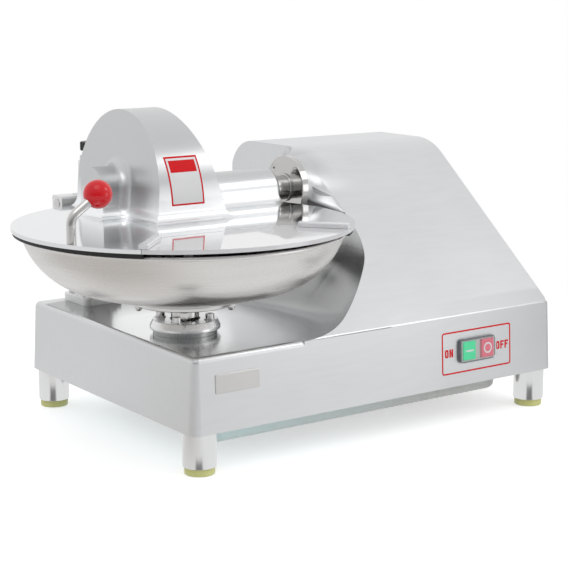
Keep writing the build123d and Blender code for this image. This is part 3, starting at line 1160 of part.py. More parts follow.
NODES = {
    "base_casting": base_casting,
    "bottom_pan": bottom_pan,
    "pan_screws": pan_screws,
    "motor_body": motor_body,
    "motor_clamps": motor_clamps,
    "clamp_bolts": clamp_bolts,
    "motor_pulley": lambda: pulley(WORM_Y, MOTOR_HEIGHT, MOTOR_SHAFT_RADIUS + FIT),
    "knife_pulley": lambda: pulley(KNIFE_Y, KNIFE_HEIGHT, SHAFT_RADIUS + FIT),
    "drive_belt": drive_belt,
    "motor_shaft": motor_rotor,
    "shaft_coupling": shaft_coupling,
    "worm": worm,
    "worm_wheel": worm_wheel,
    "gearbox_case": gearbox_case,
    "spindle_bearings": spindle_bearings,
    "worm_bearings": worm_bearings,
    "bowl_spindle": bowl_spindle,
    "drive_plate": drive_plate,
    "bowl_hub": bowl_hub,
    "bowl": bowl,
    "bowl_nut": bowl_nut,
    "acorn_screws": acorn_screws,
    "deck_flange": deck_flange,
    "spindle_seal": spindle_seal,
    "deck_flange_bolts": deck_flange_bolts,
    "bearing_housing": bearing_housing,
    "knife_bearings": knife_bearings,
    "shaft_seal": shaft_seal,
    "flange_screws": flange_screws,
    "knife_shaft": knife_shaft,
    "knife_inner": lambda: Pos(BOWL_X + KNIFE_SPACING / 2, KNIFE_Y, KNIFE_HEIGHT) * blade(-20),
    "knife_outer": lambda: Pos(BOWL_X - KNIFE_SPACING / 2, KNIFE_Y, KNIFE_HEIGHT) * blade(160),
    "knife_spacers": knife_spacers,
    "knife_nut": knife_nut,
    "lid_casting": lid_casting,
    "lid_gasket": lid_gasket,
    "flap_plate": flap_plate,
    "flap_strips": flap_strips,
    "flap_pins": flap_pins,
    "handle_rod": handle_rod,
    "handle_ball": handle_ball,
    "hinge_arm": hinge_arm,
    "hinge_post": hinge_post,
    "hinge_post_bolts": hinge_post_bolts,
    "hinge_pin": hinge_pin,
    "lock_knob": lock_knob,
    "lock_stud": lock_stud,
    "switch_bezel": switch_bezel,
    "on_button": lambda: button(-1),
    "off_button": lambda: button(1),
    "switch_hood": switch_hood,
    "switch_body": switch_body,
    "cable_gland": cable_gland,
}


os.makedirs("parts", exist_ok=True)
for name, shape in zip(("foot_legs", "foot_pads", "foot_screws"), feet()):
    write(name, shape)
for name, make in NODES.items():
    write(name, make())
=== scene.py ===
"""Looks of the table-top bowl cutter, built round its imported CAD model. Lengths in metres."""
from math import cos, pi, radians, sin

import bmesh
import bpy
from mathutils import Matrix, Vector
from mathutils.bvhtree import BVHTree


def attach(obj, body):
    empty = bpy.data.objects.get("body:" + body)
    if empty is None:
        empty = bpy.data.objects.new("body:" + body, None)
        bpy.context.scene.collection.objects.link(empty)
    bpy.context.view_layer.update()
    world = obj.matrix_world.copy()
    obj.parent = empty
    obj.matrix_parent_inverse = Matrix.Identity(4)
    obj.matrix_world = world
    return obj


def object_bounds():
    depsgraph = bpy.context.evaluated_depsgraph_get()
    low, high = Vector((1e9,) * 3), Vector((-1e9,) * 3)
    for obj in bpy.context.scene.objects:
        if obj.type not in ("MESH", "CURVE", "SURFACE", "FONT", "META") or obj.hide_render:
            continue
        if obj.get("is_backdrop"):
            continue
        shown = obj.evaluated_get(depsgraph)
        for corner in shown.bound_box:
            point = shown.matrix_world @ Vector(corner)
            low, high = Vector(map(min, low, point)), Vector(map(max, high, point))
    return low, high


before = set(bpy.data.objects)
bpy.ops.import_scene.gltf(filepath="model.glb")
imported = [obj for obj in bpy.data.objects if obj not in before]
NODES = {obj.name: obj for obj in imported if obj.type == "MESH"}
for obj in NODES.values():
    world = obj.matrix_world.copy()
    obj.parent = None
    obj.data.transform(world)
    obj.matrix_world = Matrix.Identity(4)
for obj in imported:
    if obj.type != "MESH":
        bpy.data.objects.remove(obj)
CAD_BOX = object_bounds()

# ---------------------------------------------------------------- places taken from the CAD
FRONT_Y = -0.023                 # the base's front wall at its lower rim
RIM_Z = 0.053                    # height of that rim
WALL_LEAN = radians(2.9)         # draft of the base's walls
SWITCH_X = 0.4285                # middle of the switch
SWITCH_Z = 0.100
BUTTON_STEP = 0.0163             # from the switch's middle to the middle of a button
BUTTON_FACE = 0.0061             # a button's face, out of the front wall
BOWL_AXIS = (0.0518, 0.1135)     # x and y
SHAFT_AXIS = (0.2195, 0.3045)    # y and z of the knife shaft
DOME_X = 0.0518
LID_TOP = 0.290                  # top of the lid's flat plate
DECK_Z = 0.148
SLOPE = radians(39.8)            # slope of the housing's front
SLOPE_NORMAL = Vector((0, -sin(SLOPE), cos(SLOPE)))
FOOT_AXES = ((0, 0), (0.549, 0), (0, 0.383))    # front left, front right and rear left

# ---------------------------------------------------------------- brightness of room, table and floor
# ROOM and TABLE are seen by metal alone; the camera sees the floor on white.
ROOM_BACK = 0.95
ROOM_SIDE = 0.80
ROOM_VIEWER = 0.30               # the dark side of the room, where the camera stands
TABLE_LEFT = 0.86
TABLE_RIGHT = 0.60
TABLE_FLAG = 0.22                # the grey flags before the feet
FLOOR_GLOW = 0.52                # what lifts the floor towards white, with its shadow kept


# ---------------------------------------------------------------- node helpers
class Finish:
    """A material with one Principled shader, and short calls for the nodes behind it."""

    def __init__(self, name, **sockets):
        self.material = bpy.data.materials.new(name)
        self.material.use_nodes = True
        self.tree = self.material.node_tree
        self.shader = self.tree.nodes["Principled BSDF"]
        for key, value in sockets.items():
            self.shader.inputs[key.replace("_", " ")].default_value = value
        self.place = self.add("ShaderNodeTexCoord").outputs["Object"]

    def add(self, kind, **settings):
        made = self.tree.nodes.new(kind)
        for key, value in settings.items():
            setattr(made, key, value)
        return made

    def put(self, socket, value):
        if hasattr(value, "is_output"):
            self.tree.links.new(value, socket)
        else:
            socket.default_value = value

    def math(self, operation, a, b=0.0):
        made = self.add("ShaderNodeMath", operation=operation)
        self.put(made.inputs[0], a)
        self.put(made.inputs[1], b)
        return made.outputs[0]

    def length(self, a, b):
        """The root of a squared plus b squared."""
        squares = self.math("ADD", self.math("MULTIPLY", a, a), self.math("MULTIPLY", b, b))
        return self.math("SQRT", squares)

    def parts(self):
        """X, Y and Z of the place in the part's frame."""
        made = self.add("ShaderNodeSeparateXYZ")
        self.put(made.inputs[0], self.place)
        return made.outputs[0], made.outputs[1], made.outputs[2]

    def stretch(self, scale, place=None):
        """A place, by default in the part's frame, stretched by three factors."""
        made = self.add("ShaderNodeMapping")
        self.put(made.inputs["Vector"], place or self.place)
        made.inputs["Scale"].default_value = scale
        return made.outputs[0]

    def noise(self, scale=(1, 1, 1), size=1.0, detail=3.0, place=None):
        made = self.add("ShaderNodeTexNoise")
        self.put(made.inputs["Vector"], self.stretch(scale, place))
        made.inputs["Scale"].default_value = size
        made.inputs["Detail"].default_value = detail
        return made.outputs["Fac"]

    def span(self, value, low, high, start=0.3, end=0.7):
        """Value from start..end mapped to low..high, clamped."""
        made = self.add("ShaderNodeMapRange")
        for key, number in (("From Min", start), ("From Max", end), ("To Min", low), ("To Max", high)):
            self.put(made.inputs[key], number)
        self.put(made.inputs["Value"], value)
        return made.outputs[0]

    def blend(self, share, first, second):
        made = self.add("ShaderNodeMix", data_type="RGBA")
        self.put(made.inputs["Factor"], share)
        self.put(made.inputs["A"], first)
        self.put(made.inputs["B"], second)
        return made.outputs["Result"]

    def bump(self, height, strength, distance, normal=None):
        made = self.add("ShaderNodeBump")
        made.inputs["Strength"].default_value = strength
        made.inputs["Distance"].default_value = distance
        self.put(made.inputs["Height"], height)
        if normal is not None:
            self.put(made.inputs["Normal"], normal)
        return made.outputs[0]

    def soft_edges(self, radius):
        made = self.add("ShaderNodeBevel", samples=4)
        made.inputs["Radius"].default_value = radius
        return made.outputs[0]

    def emission(self, strength=1.0):
        made = self.add("ShaderNodeEmission")
        made.inputs["Color"].default_value = (1, 1, 1, 1)
        made.inputs["Strength"].default_value = strength
        return made

    def mix_shader(self, share, first, second):
        made = self.add("ShaderNodeMixShader")
        for socket, value in zip(made.inputs, (share, first, second)):
            self.put(socket, value)
        return made.outputs[0]

    def feed(self, **links):
        """Values for the Principled shader's sockets; the finished material."""
        for key, value in links.items():
            self.put(self.shader.inputs[key.replace("_", " ")], value)
        return self.material


def grey(value, warm=0.0):
    """A light grey, warmer above 0 and cooler below."""
    return (value * (1 + warm), value, value * (1 - warm), 1)


def facing(made, place, axis):
    """How far a place or a normal reaches along a direction."""
    dot = made.add("ShaderNodeVectorMath", operation="DOT_PRODUCT")
    made.put(dot.inputs[0], place)
    dot.inputs[1].default_value = axis
    return dot.outputs["Value"]


def ring_place(made, centre):
    """A texture place of distance from an upright axis, turn and height; then the distance and the height."""
    x, y, height = made.parts()
    x = made.math("SUBTRACT", x, centre[0])
    y = made.math("SUBTRACT", y, centre[1])
    radius = made.length(x, y)
    turn = made.math("ARCTAN2", y, x)
    joined = made.add("ShaderNodeCombineXYZ")
    for socket, value in zip(joined.inputs, (radius, turn, height)):
        made.put(socket, value)
    return joined.outputs[0], radius, height


def metal(name, tone, rough, warm=0.0, grain=(60, 60, 60), spread=0.05, relief=0.06, edge=0.0006, **sockets):
    """Bare metal: cloudy tone, grain stretched along the polishing, painted shade in crevices, uneven gloss,
    soft bright edges.
    """
    made = Finish(name, Metallic=1.0, **sockets)
    cloud = made.noise(size=9.0)
    lines = made.noise(scale=grain, detail=4.0)
    # Painted shade: ambient occlusion darkens the colour in crevices and between parts.
    crevice_shade = made.add("ShaderNodeAmbientOcclusion", samples=4)
    crevice_shade.inputs["Distance"].default_value = 0.012
    base = made.blend(made.span(cloud, 0, 1), grey(tone - spread, warm), grey(tone, warm))
    base = made.blend(made.span(lines, 0, 0.25, 0.35, 0.65), base, grey(tone + spread, warm))
    base = made.blend(made.span(crevice_shade.outputs["AO"], 0.35, 0, 0, 0.7), base, grey(tone * 0.55, warm))
    gloss = made.math("ADD", made.span(cloud, -0.03, 0.04), made.span(lines, rough - 0.03, rough + 0.05))
    return made.feed(
        Base_Color=base,
        Roughness=gloss,
        Normal=made.bump(lines, relief, 0.0004, made.soft_edges(edge)),
    )


def plastic(name, colour, rough, dark=0.8, grain=900, relief=0.05, **sockets):
    """Moulded plastic or rubber: faint mottling and a fine skin."""
    made = Finish(name, **sockets)
    cloud = made.noise(size=30.0)
    skin = made.noise(size=grain, detail=2.0)
    shade = (*(c * dark for c in colour[:3]), 1)
    return made.feed(
        Base_Color=made.blend(made.span(cloud, 0, 1), shade, (*colour[:3], 1)),
        Roughness=made.span(skin, rough - 0.04, rough + 0.06),
        Normal=made.bump(skin, relief, 0.0002, made.soft_edges(0.0005)),
    )


def give(material, *names):
    """Put a material on all slots of CAD nodes, by name, or of a piece."""
    for name in names:
        piece = NODES[name] if isinstance(name, str) else name
        slots = piece.data.materials
        if not slots:
            slots.append(material)
        for index in range(len(slots)):
            slots[index] = material


# ---------------------------------------------------------------- materials of the castings
def casting_finish(name, polished, satin, polished_rough, satin_rough, streaks, painted_patch, painted_patch_tone,
                   polished_tone=None, edge=0.0005):
    """Cast aluminium: polished where that share is 1, satin elsewhere, with another tone, painted light, on
    the painted patch.
    """
    made = Finish(name, Metallic=1.0)
    share = polished(made)
    cloud = made.noise(size=7.0)
    fine = made.noise(scale=(500, 500, 500), detail=3.0)
    wipe = made.noise(scale=(18, 160, 160), detail=3.0)
    base = made.blend(made.span(cloud, 0, 1), grey(satin - 0.03, -0.006), grey(satin, -0.01))
    base = made.blend(made.span(wipe, 0, streaks, 0.35, 0.65), base, grey(satin + 0.06, -0.008))
    # Painted light: the patch's tone stands in for a highlight on the lid and for shade on the base.
    base = made.blend(painted_patch(made), base, grey(painted_patch_tone, -0.01))
    base = made.blend(share, base, polished_tone(made) if polished_tone else grey(0.79, -0.01))
    rough = made.math("ADD", made.span(cloud, -0.02, 0.02),
                      made.span(wipe, satin_rough, satin_rough + streaks * 0.2))
    shine = made.math("ADD", made.span(cloud, -0.02, 0.03), polished_rough)
    gloss = made.add("ShaderNodeMix", data_type="FLOAT")
    made.put(gloss.inputs["Factor"], share)
    made.put(gloss.inputs["A"], rough)
    made.put(gloss.inputs["B"], shine)
    relief = made.math("ADD", made.math("MULTIPLY", cloud, 4.0), made.math("MULTIPLY", fine, 0.012))
    return made.feed(
        Base_Color=base,
        Roughness=gloss.outputs[0],
        Normal=made.bump(relief, 0.1, 0.0005, made.soft_edges(edge)),
    )


def lid_polish(made):
    """1 on the lid's flat plate, fading out over the first millimetres of what stands on it."""
    _, _, height = made.parts()
    return made.span(height, 1, 0, LID_TOP + 0.0005, LID_TOP + 0.004)


def lid_foot_highlight(made):
    """1 where the dome, nose and tunnel run out into the plate, where a highlight is painted."""
    _, _, height = made.parts()
    return made.span(height, 1, 0, LID_TOP + 0.010, LID_TOP + 0.040)


def base_polish(made):
    """1 on the deck and the lower wall of the bay round the bowl, 0 on the slope and the outer walls."""
    _, radius, height = ring_place(made, BOWL_AXIS)
    near = made.span(radius, 1, 0, 0.262, 0.272)
    above = made.span(height, 0, 1, DECK_Z - 0.0012, DECK_Z - 0.0004)
    below = made.span(height, 1, 0, 0.225, 0.262)
    normal = made.add("ShaderNodeTexCoord").outputs["Normal"]
    off_slope = made.span(facing(made, normal, SLOPE_NORMAL), 1, 0, 0.96, 0.985)
    on_top = made.math("MULTIPLY", above, below)
    return made.math("MULTIPLY", off_slope, made.math("MULTIPLY", near, on_top))


def bay_painted_shade(made):
    """Bright deck; painted shade on the wall of the bay, darkest low down, where it mirrors the bowl's dark
    underside.
    """
    _, radius, height = ring_place(made, BOWL_AXIS)
    # painted shade: the bay's wall darker, darkest low down
    wall = made.blend(made.span(height, 0, 1, 0.17, 0.25), grey(0.34, -0.004), grey(0.54, -0.004))
    return made.blend(made.span(radius, 0, 1, 0.12, 0.20), grey(0.88, -0.005), wall)


def base_shade(made):
    """Painted shade: round the bearing's boss, and on the front wall towards its right end."""
    x, y, height = made.parts()
    aside = made.math("SUBTRACT", y, SHAFT_AXIS[0])
    up = made.math("SUBTRACT", height, SHAFT_AXIS[1])
    off = made.length(aside, up)
    boss = made.math("MULTIPLY", made.span(off, 1, 0, 0.045, 0.060), made.span(x, 1, 0, 0.315, 0.345))
    right = made.math("MULTIPLY", made.span(x, 0, 0.75, 0.36, 0.57), made.span(y, 1, 0, 0.0, 0.004))
    return made.math("MAXIMUM", boss, right)


# Painted highlight on the lid, where its shapes run out into the plate.
LID_METAL = casting_finish(
    "aluminium_lid", polished=lid_polish, satin=0.64, polished_rough=0.07, satin_rough=0.30, streaks=0.10,
    painted_patch=lid_foot_highlight, painted_patch_tone=0.97,
)
# Painted shade on the base: round the boss, at the front wall's right end, and on the bay's wall.
BASE_METAL = casting_finish(
    "aluminium_base", polished=base_polish, satin=0.74, polished_rough=0.2, satin_rough=0.33, streaks=0.25,
    painted_patch=base_shade, painted_patch_tone=0.62, polished_tone=bay_painted_shade, edge=0.0003,
)
give(LID_METAL, "lid_casting")
give(BASE_METAL, "base_casting")
give(metal("aluminium_cast", 0.66, 0.38, relief=0.2), "bowl_hub", "gearbox_case", "motor_clamps")
# Painted light: the hinge's aluminium is lighter than the other castings, against the bowl's shadow on the
# post.
give(metal("aluminium_hinge", 0.90, 0.5, relief=0.1), "hinge_post", "hinge_arm")


def flange_finish():
    """Turned flange: bright top and lip, painted shade on the neck under the lip."""
    made = Finish("aluminium_flange", Metallic=1.0)
    _, _, height = ring_place(made, BOWL_AXIS)
    rings = made.noise(scale=(300, 300, 900), detail=3.0)
    top = made.blend(made.span(rings, 0, 1), grey(0.78), grey(0.88))
    # painted shade: the neck under the lip is darkened
    return made.feed(
        Base_Color=made.blend(made.span(height, 1, 0, DECK_Z + 0.004, DECK_Z + 0.009), top, grey(0.34)),
        Roughness=made.span(rings, 0.2, 0.3),
        Normal=made.bump(rings, 0.05, 0.0002, made.soft_edges(0.0012)),
    )


give(flange_finish(), "deck_flange")
give(metal("aluminium_foot", 0.84, 0.13, grain=(900, 900, 30)), "foot_legs")
give(metal("steel_polished", 0.60, 0.14, 0.015, grain=(60, 500, 500)), "bearing_housing", "shaft_seal")
give(metal("steel_shaft", 0.66, 0.18, 0.02, grain=(900, 60, 60)), "knife_shaft", "handle_rod", "bowl_spindle",
     "motor_shaft", "worm")
give(metal("steel_plate", 0.70, 0.2, 0.01, grain=(120, 120, 400)), "drive_plate", "bowl_nut", "knife_nut",
     "knife_spacers", "knife_inner", "knife_outer")
give(metal("steel_screw", 0.66, 0.15, 0.01, edge=0.0004), "deck_flange_bolts", "flange_screws", "hinge_pin",
     "hinge_post_bolts", "acorn_screws", "pan_screws", "foot_screws", "clamp_bolts", "flap_pins", "lock_stud",
     "shaft_coupling", "motor_pulley", "knife_pulley", "spindle_bearings", "worm_bearings", "knife_bearings")
give(metal("bronze_wheel", 0.45, 0.3, 0.35), "worm_wheel")


def bowl_finish():
    """Spun stainless steel: fine rings round the bowl's axis, and a soft sheen across them."""
    made = Finish("steel_bowl", Metallic=1.0, Anisotropic=0.55)
    place, _, _ = ring_place(made, BOWL_AXIS)
    rings = made.noise(scale=(1400, 2.2, 1400), detail=3.0, place=place)
    bands = made.noise(scale=(60, 0.6, 60), detail=2.0, place=place)
    cloud = made.noise(size=5.0)
    base = made.blend(made.span(bands, 0, 1), grey(0.72, 0.026), grey(0.78, 0.022))
    base = made.blend(made.span(rings, 0, 0.3, 0.3, 0.7), base, grey(0.84, 0.022))
    base = made.blend(made.span(cloud, 0.25, 0), base, grey(0.60, 0.035))
    tangent = made.add("ShaderNodeTangent", direction_type="RADIAL", axis="Z")
    return made.feed(
        Base_Color=base,
        Roughness=made.math("ADD", made.span(rings, 0.22, 0.34), made.span(cloud, -0.02, 0.03)),
        Normal=made.bump(rings, 0.07, 0.0002, made.soft_edges(0.0006)),
        Tangent=tangent.outputs[0],
    )


give(bowl_finish(), "bowl")

# ---------------------------------------------------------------- plastics and rubber
give(plastic("rubber_black", (0.012, 0.012, 0.013), 0.55), "lid_gasket", "spindle_seal", "drive_belt")
give(plastic("plastic_black", (0.016, 0.016, 0.018), 0.35), "lock_knob", "switch_body", "cable_gland")
give(plastic("paint_motor", (0.10, 0.12, 0.14), 0.4, relief=0.15), "motor_body")
give(plastic("plastic_red_ball", (0.74, 0.002, 0.010), 0.08, 0.95, relief=0.0), "handle_ball")
give(plastic("plastic_green", (0.0, 0.88, 0.38), 0.4, 0.95, Specular_IOR_Level=0.2), "on_button")
give(plastic("plastic_red", (0.84, 0.12, 0.19), 0.4, 0.95, Specular_IOR_Level=0.2), "off_button")


def bezel_finish():
    """Switch frame: pale face with a dark moulded rim."""
    rim_x, rim_z, fade = 0.0288, 0.0134, 0.0014     # where the rim begins, from the middle
    made = Finish("plastic_bezel")
    x, _, height = made.parts()
    along = made.math("ABSOLUTE", made.math("SUBTRACT", x, SWITCH_X))
    up = made.math("ABSOLUTE", made.math("SUBTRACT", height, SWITCH_Z))
    rim = made.math("MAXIMUM", made.span(along, 0, 1, rim_x, rim_x + fade),
                    made.span(up, 0, 1, rim_z, rim_z + fade))
    skin = made.noise(size=900, detail=2.0)
    return made.feed(
        Base_Color=made.blend(rim, (0.56, 0.55, 0.53, 1), (0.030, 0.040, 0.060, 1)),
        Roughness=made.span(skin, 0.2, 0.32),
        Normal=made.bump(skin, 0.04, 0.0002, made.soft_edges(0.0006)),
    )


give(bezel_finish(), "switch_bezel")


def pan_finish():
    """Translucent moulded pan, faintly green; lighter on the left, where light coming through it is painted.
    """
    made = Finish("plastic_pan")
    x, _, _ = made.parts()
    cloud = made.noise(size=12.0)
    # painted light: lighter and greener towards the left, greyer on the right
    tint = made.blend(made.span(x, 0, 1, 0.05, 0.40), (0.84, 0.99, 0.99, 1), (0.68, 0.69, 0.67, 1))
    return made.feed(
        Base_Color=tint,
        Roughness=made.span(cloud, 0.22, 0.34),
        Normal=made.soft_edges(0.001),
    )


give(pan_finish(), "bottom_pan")
give(plastic("rubber_foot", (0.80, 0.80, 0.30), 0.3, 0.9, Transmission_Weight=0.2), "foot_pads")


def clear_finish(name, tint, rough, **sockets):
    """Clear acrylic with faint wipe marks."""
    made = Finish(name, IOR=1.49, **sockets)
    marks = made.noise(scale=(40, 300, 300), detail=4.0)
    shade = tuple(c * 0.97 for c in tint)
    return made.feed(
        Base_Color=made.blend(made.span(marks, 0, 1), (*shade, 1), (*tint, 1)),
        Roughness=made.span(marks, rough, rough + 0.03),
        Normal=made.bump(marks, 0.02, 0.0001, made.soft_edges(0.0006)),
    )


give(clear_finish("acrylic_flap", (0.98, 0.97, 0.99), 0.02, Transmission_Weight=0.3, Coat_Weight=1.0),
     "flap_plate")
give(clear_finish("acrylic_strip", (0.96, 0.96, 0.99), 0.12, Transmission_Weight=0.2, Coat_Weight=0.5),
     "flap_strips")
give(clear_finish("acrylic_hood", (0.90, 0.93, 0.95), 0.05, Alpha=0.08), "switch_hood")


# ---------------------------------------------------------------- pieces in mesh code
def mesh_piece(name, verts, faces, material, body, slot_name):
    """A named piece that rides on a body, with its finish; slot_name is not used."""
    data = bpy.data.meshes.new(name)
    data.from_pydata([tuple(v) for v in verts], [], faces)
    made = bmesh.new()
    made.from_mesh(data)
    bmesh.ops.remove_doubles(made, verts=made.verts, dist=1e-7)
    bmesh.ops.recalc_face_normals(made, faces=made.faces)
    made.to_mesh(data)
    made.free()
    piece = bpy.data.objects.new(name, data)
    bpy.context.scene.collection.objects.link(piece)
    give(material, piece)
    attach(piece, body)
    return piece


def rounded_outline(width, height, radius, steps=6):
    """Points of a rounded rectangle about 0, anticlockwise."""
    points = []
    for corner, (sx, sy) in enumerate(((1, 1), (-1, 1), (-1, -1), (1, -1))):
        cx, cy = sx * (width / 2 - radius), sy * (height / 2 - radius)
        for i in range(steps + 1):
            a = pi / 2 * (corner + i / steps)
            points.append((cx + radius * cos(a), cy + radius * sin(a)))
    return points


def wall_point(x, along, out):
    """A point on the drafted front wall: along it from the switch's middle, and out of it."""
    y = FRONT_Y + (SWITCH_Z - RIM_Z) * sin(WALL_LEAN) / cos(WALL_LEAN)
    return Vector((
        SWITCH_X + x,
        y + along * sin(WALL_LEAN) - out * cos(WALL_LEAN),
        SWITCH_Z + along * cos(WALL_LEAN) + out * sin(WALL_LEAN),
    ))


def prism(outline, place, low, high):
    """Verts and faces of a closed plate between two levels."""
    count = len(outline)
    verts = [place(u, v, low) for u, v in outline] + [place(u, v, high) for u, v in outline]
    faces = [(i, (i + 1) % count, count + (i + 1) % count, count + i) for i in range(count)]
    faces += [tuple(range(count))[::-1], tuple(range(count, 2 * count))]
    return verts, faces


def band(outer, inner, place, low, high):
    """Verts and faces of a closed ring between two outlines with the same number of points."""
    count = len(outer)
    loops = [[place(u, v, z) for u, v in line] for line, z in (
        (outer, low), (outer, high), (inner, high), (inner, low))]
    verts = [v for loop in loops for v in loop]
    faces = []
    for k in range(4):
        for i in range(count):
            a, b = k * count, (k + 1) % 4 * count
            faces.append((a + i, a + (i + 1) % count, b + (i + 1) % count, b + i))
    return verts, faces


def join(parts):
    """Verts and faces of several shapes as one."""
    verts, faces = [], []
    for v, f in parts:
        faces += [tuple(i + len(verts) for i in face) for face in f]
        verts += v
    return verts, faces


def surface_of(name):
    """A CAD node's surface, for pieces that lie on it."""
    return BVHTree.FromObject(NODES[name], bpy.context.evaluated_depsgraph_get())


def hump(t):
    """1 at 0, falling smoothly to 0 at 1."""
    return cos(min(abs(t), 1) * pi / 2) ** 2


def bowed(t, bend):
    """0 to 1, by way of a bend: 0.5 runs straight, less lags behind and more leads."""
    return 2 * bend * t * (1 - t) + t * t


def grid_faces(rows, row, first=0, closed=False):
    """Faces between neighbouring rows of points; closed joins the last row to the first."""
    faces = []
    for k in range(rows if closed else rows - 1):
        a, b = first + k * row, first + (k + 1) % rows * row
        faces += [(a + i, b + i, b + i + 1, a + i + 1) for i in range(row - 1)]
    return faces


def boss_fairing():
    """Skin that runs the bearing's boss out into the bay's wall and, past the bay's edge, into the slope.

    Turns go round the shaft, 0 square off the slope and a quarter turn up along it.
    """
    start, ring = 0.2922, 0.0435        # its inner end: x, just behind the boss's face, and radius
    edge = 0.3205                       # x of the edge between the bay's wall and the slope, over the boss
    wall_reach = 0.068                  # how far it runs out into the bay's wall
    low_reach = 0.108                   # and on its lower side
    low_turn, low_width = radians(-92), radians(50)
    lift, up_width, down_width = 0.0088, 0.040, 0.055    # swelling of the bay's edge over the boss
    straight, swing = 0.018, 0.15       # further up than this, the edge leans to the right
    skirt = 0.09                        # how far the swelling runs out on the slope
    sunk = 0.0004                       # its rims lie this deep in the casting
    first_turn, last_turn = -1.3, 2     # the slope is met between these
    slope_x, slope_start = 0.42, 0.2    # rays to the slope start here, this far out
    bay_x = 0.15                        # rays to the bay's wall start here
    x_bend, out_bend = 0.6, 0.41        # of the hollow's profile, along the shaft and away from it
    turns, steps = 120, 14

    tree = surface_of("base_casting")
    axis, right = Vector((0, *SHAFT_AXIS)), Vector((1, 0, 0))
    tangent = Vector((0, cos(SLOPE), sin(SLOPE)))
    hollow, brow = [], []
    for k in range(turns):
        turn = 2 * pi * k / turns - pi
        along = SLOPE_NORMAL * cos(turn) + tangent * sin(turn)
        slope = tree.ray_cast(axis + right * slope_x + along * slope_start, -along)[0]
        outline = (slope - axis).dot(along) if slope and first_turn < turn < last_turn else 1
        low = max(1 - abs(turn - low_turn) / low_width, 0)
        reach = wall_reach + (low_reach - wall_reach) * low * low * (3 - 2 * low)
        if outline < reach:
            place = outline * sin(turn)
            rise = lift * hump(place / (up_width if place > 0 else down_width))
            target = along * outline + SLOPE_NORMAL * (rise - sunk)
            wall = edge + max(place - straight, 0) * swing - rise
            for i in range(steps + 1):
                x, level = wall + skirt * i / steps, rise * hump(i / steps) - sunk
                brow.append(axis + right * x + along * outline + SLOPE_NORMAL * level)
        else:
            hit = tree.ray_cast(axis + right * bay_x + along * reach, right)[0]
            wall = hit.x + sunk if hit else edge
            target = along * reach
        for i in range(steps + 1):
            t = i / steps
            x = start + (wall - start) * bowed(t, x_bend)
            hollow.append(axis + right * x + (along * ring).lerp(target, bowed(t, out_bend)))
    row = steps + 1
    faces = grid_faces(turns, row, closed=True) + grid_faces(len(brow) // row, row, first=len(hollow))
    piece = mesh_piece("boss_fairing", hollow + brow, faces, BASE_METAL, "base", "cast_aluminium")
    piece.data.shade_smooth()


boss_fairing()

PRINT = plastic("print_red", (0.78, 0.004, 0.010), 0.45, 0.96, Specular_IOR_Level=0.2)
WHITE = plastic("print_white", (0.86, 0.87, 0.88), 0.3, 0.97)
PAPER = plastic("label_white", (0.86, 0.86, 0.86), 0.32, 0.97)
FILM = 0.00012            # a printed film's outer face, out of what it lies on
FILM_BACK = 0.00002       # and its inner face
MARK_DEPTH = 0.0001       # how deep a button's mark sits in the button


def box_outline(x0, y0, x1, y1):
    """Corners of an upright rectangle, anticlockwise."""
    return [(x0, y0), (x1, y0), (x1, y1), (x0, y1)]


def letter(kind, wide, high, stroke, place):
    """O, N or F in plain strokes, as parts on the wall."""
    left, foot = -wide / 2, -high / 2
    if kind == "O":
        radius = wide * 0.42
        ring = rounded_outline(wide, high, radius)
        hole = rounded_outline(wide - 2 * stroke, high - 2 * stroke, radius - stroke)
        return [band(ring, hole, place, FILM_BACK, FILM)]
    shapes = [box_outline(left, foot, left + stroke, -foot)]
    if kind == "N":
        slant = 0.0042          # height of the slanting stroke where it meets the uprights
        shapes.append(box_outline(-left - stroke, foot, -left, -foot))
        shapes.append([(left + stroke, -foot), (left + stroke, -foot - slant),
                       (-left - stroke, foot), (-left - stroke, foot + slant)])
    else:
        short = 0.001           # the middle bar ends this much before the top one
        shapes.append(box_outline(left + stroke, -foot - stroke, -left, -foot))
        shapes.append(box_outline(left + stroke, -stroke / 2, -left - short, stroke / 2))
    return [prism(shape, place, FILM_BACK, FILM) for shape in shapes]


def switch_print():
    """Red frame with ON and OFF on the front wall, round the switch."""
    frame_wide, frame_high, frame_line, corner = 0.124, 0.0574, 0.0021, 0.004
    middle_x, middle_z = 0.0015, -0.0007
    wide, high, stroke, pitch = 0.0064, 0.0112, 0.0025, 0.0079

    def placed(x):
        return lambda u, v, out: wall_point(middle_x + x + u, middle_z + v, out)

    outer = rounded_outline(frame_wide, frame_high, corner)
    inner = rounded_outline(frame_wide - 2 * frame_line, frame_high - 2 * frame_line, corner - frame_line)
    parts = [band(outer, inner, placed(0), FILM_BACK, FILM)]
    for word, start in (("ON", -0.0535), ("OFF", 0.0385)):
        for i, kind in enumerate(word):
            parts += letter(kind, wide, high, stroke, placed(start + i * pitch))
    mesh_piece("switch_print", *join(parts), PRINT, "base", "red_plastic")


switch_print()


def nameplate():
    """Bare plate on the front wall, with rounded corners and a turned-down edge."""
    x, z = 0.0425 - SWITCH_X, 0.1128 - SWITCH_Z     # its middle, from the switch's
    wide, high, radius = 0.064, 0.0236, 0.0016
    edge = ((0, FILM_BACK), (0, 0.0006), (0.0004, 0.0009), (0.0012, 0.001))    # inset, height off the wall
    verts = []
    for inset, out in edge:
        outline = rounded_outline(wide - 2 * inset, high - 2 * inset, radius)
        verts += [wall_point(x + u, z + v, out) for u, v in outline]
    count, levels = len(outline), len(edge)
    faces = []
    for k in range(levels - 1):
        a, b = k * count, (k + 1) * count
        faces += [(a + i, a + (i + 1) % count, b + (i + 1) % count, b + i) for i in range(count)]
    faces += [tuple(range(count))[::-1], tuple(range((levels - 1) * count, levels * count))]
    finish = metal("steel_nameplate", 0.66, 0.34, 0.02, grain=(30, 30, 900), relief=0.05)
    mesh_piece("nameplate", verts, faces, finish, "base", "stainless")


nameplate()


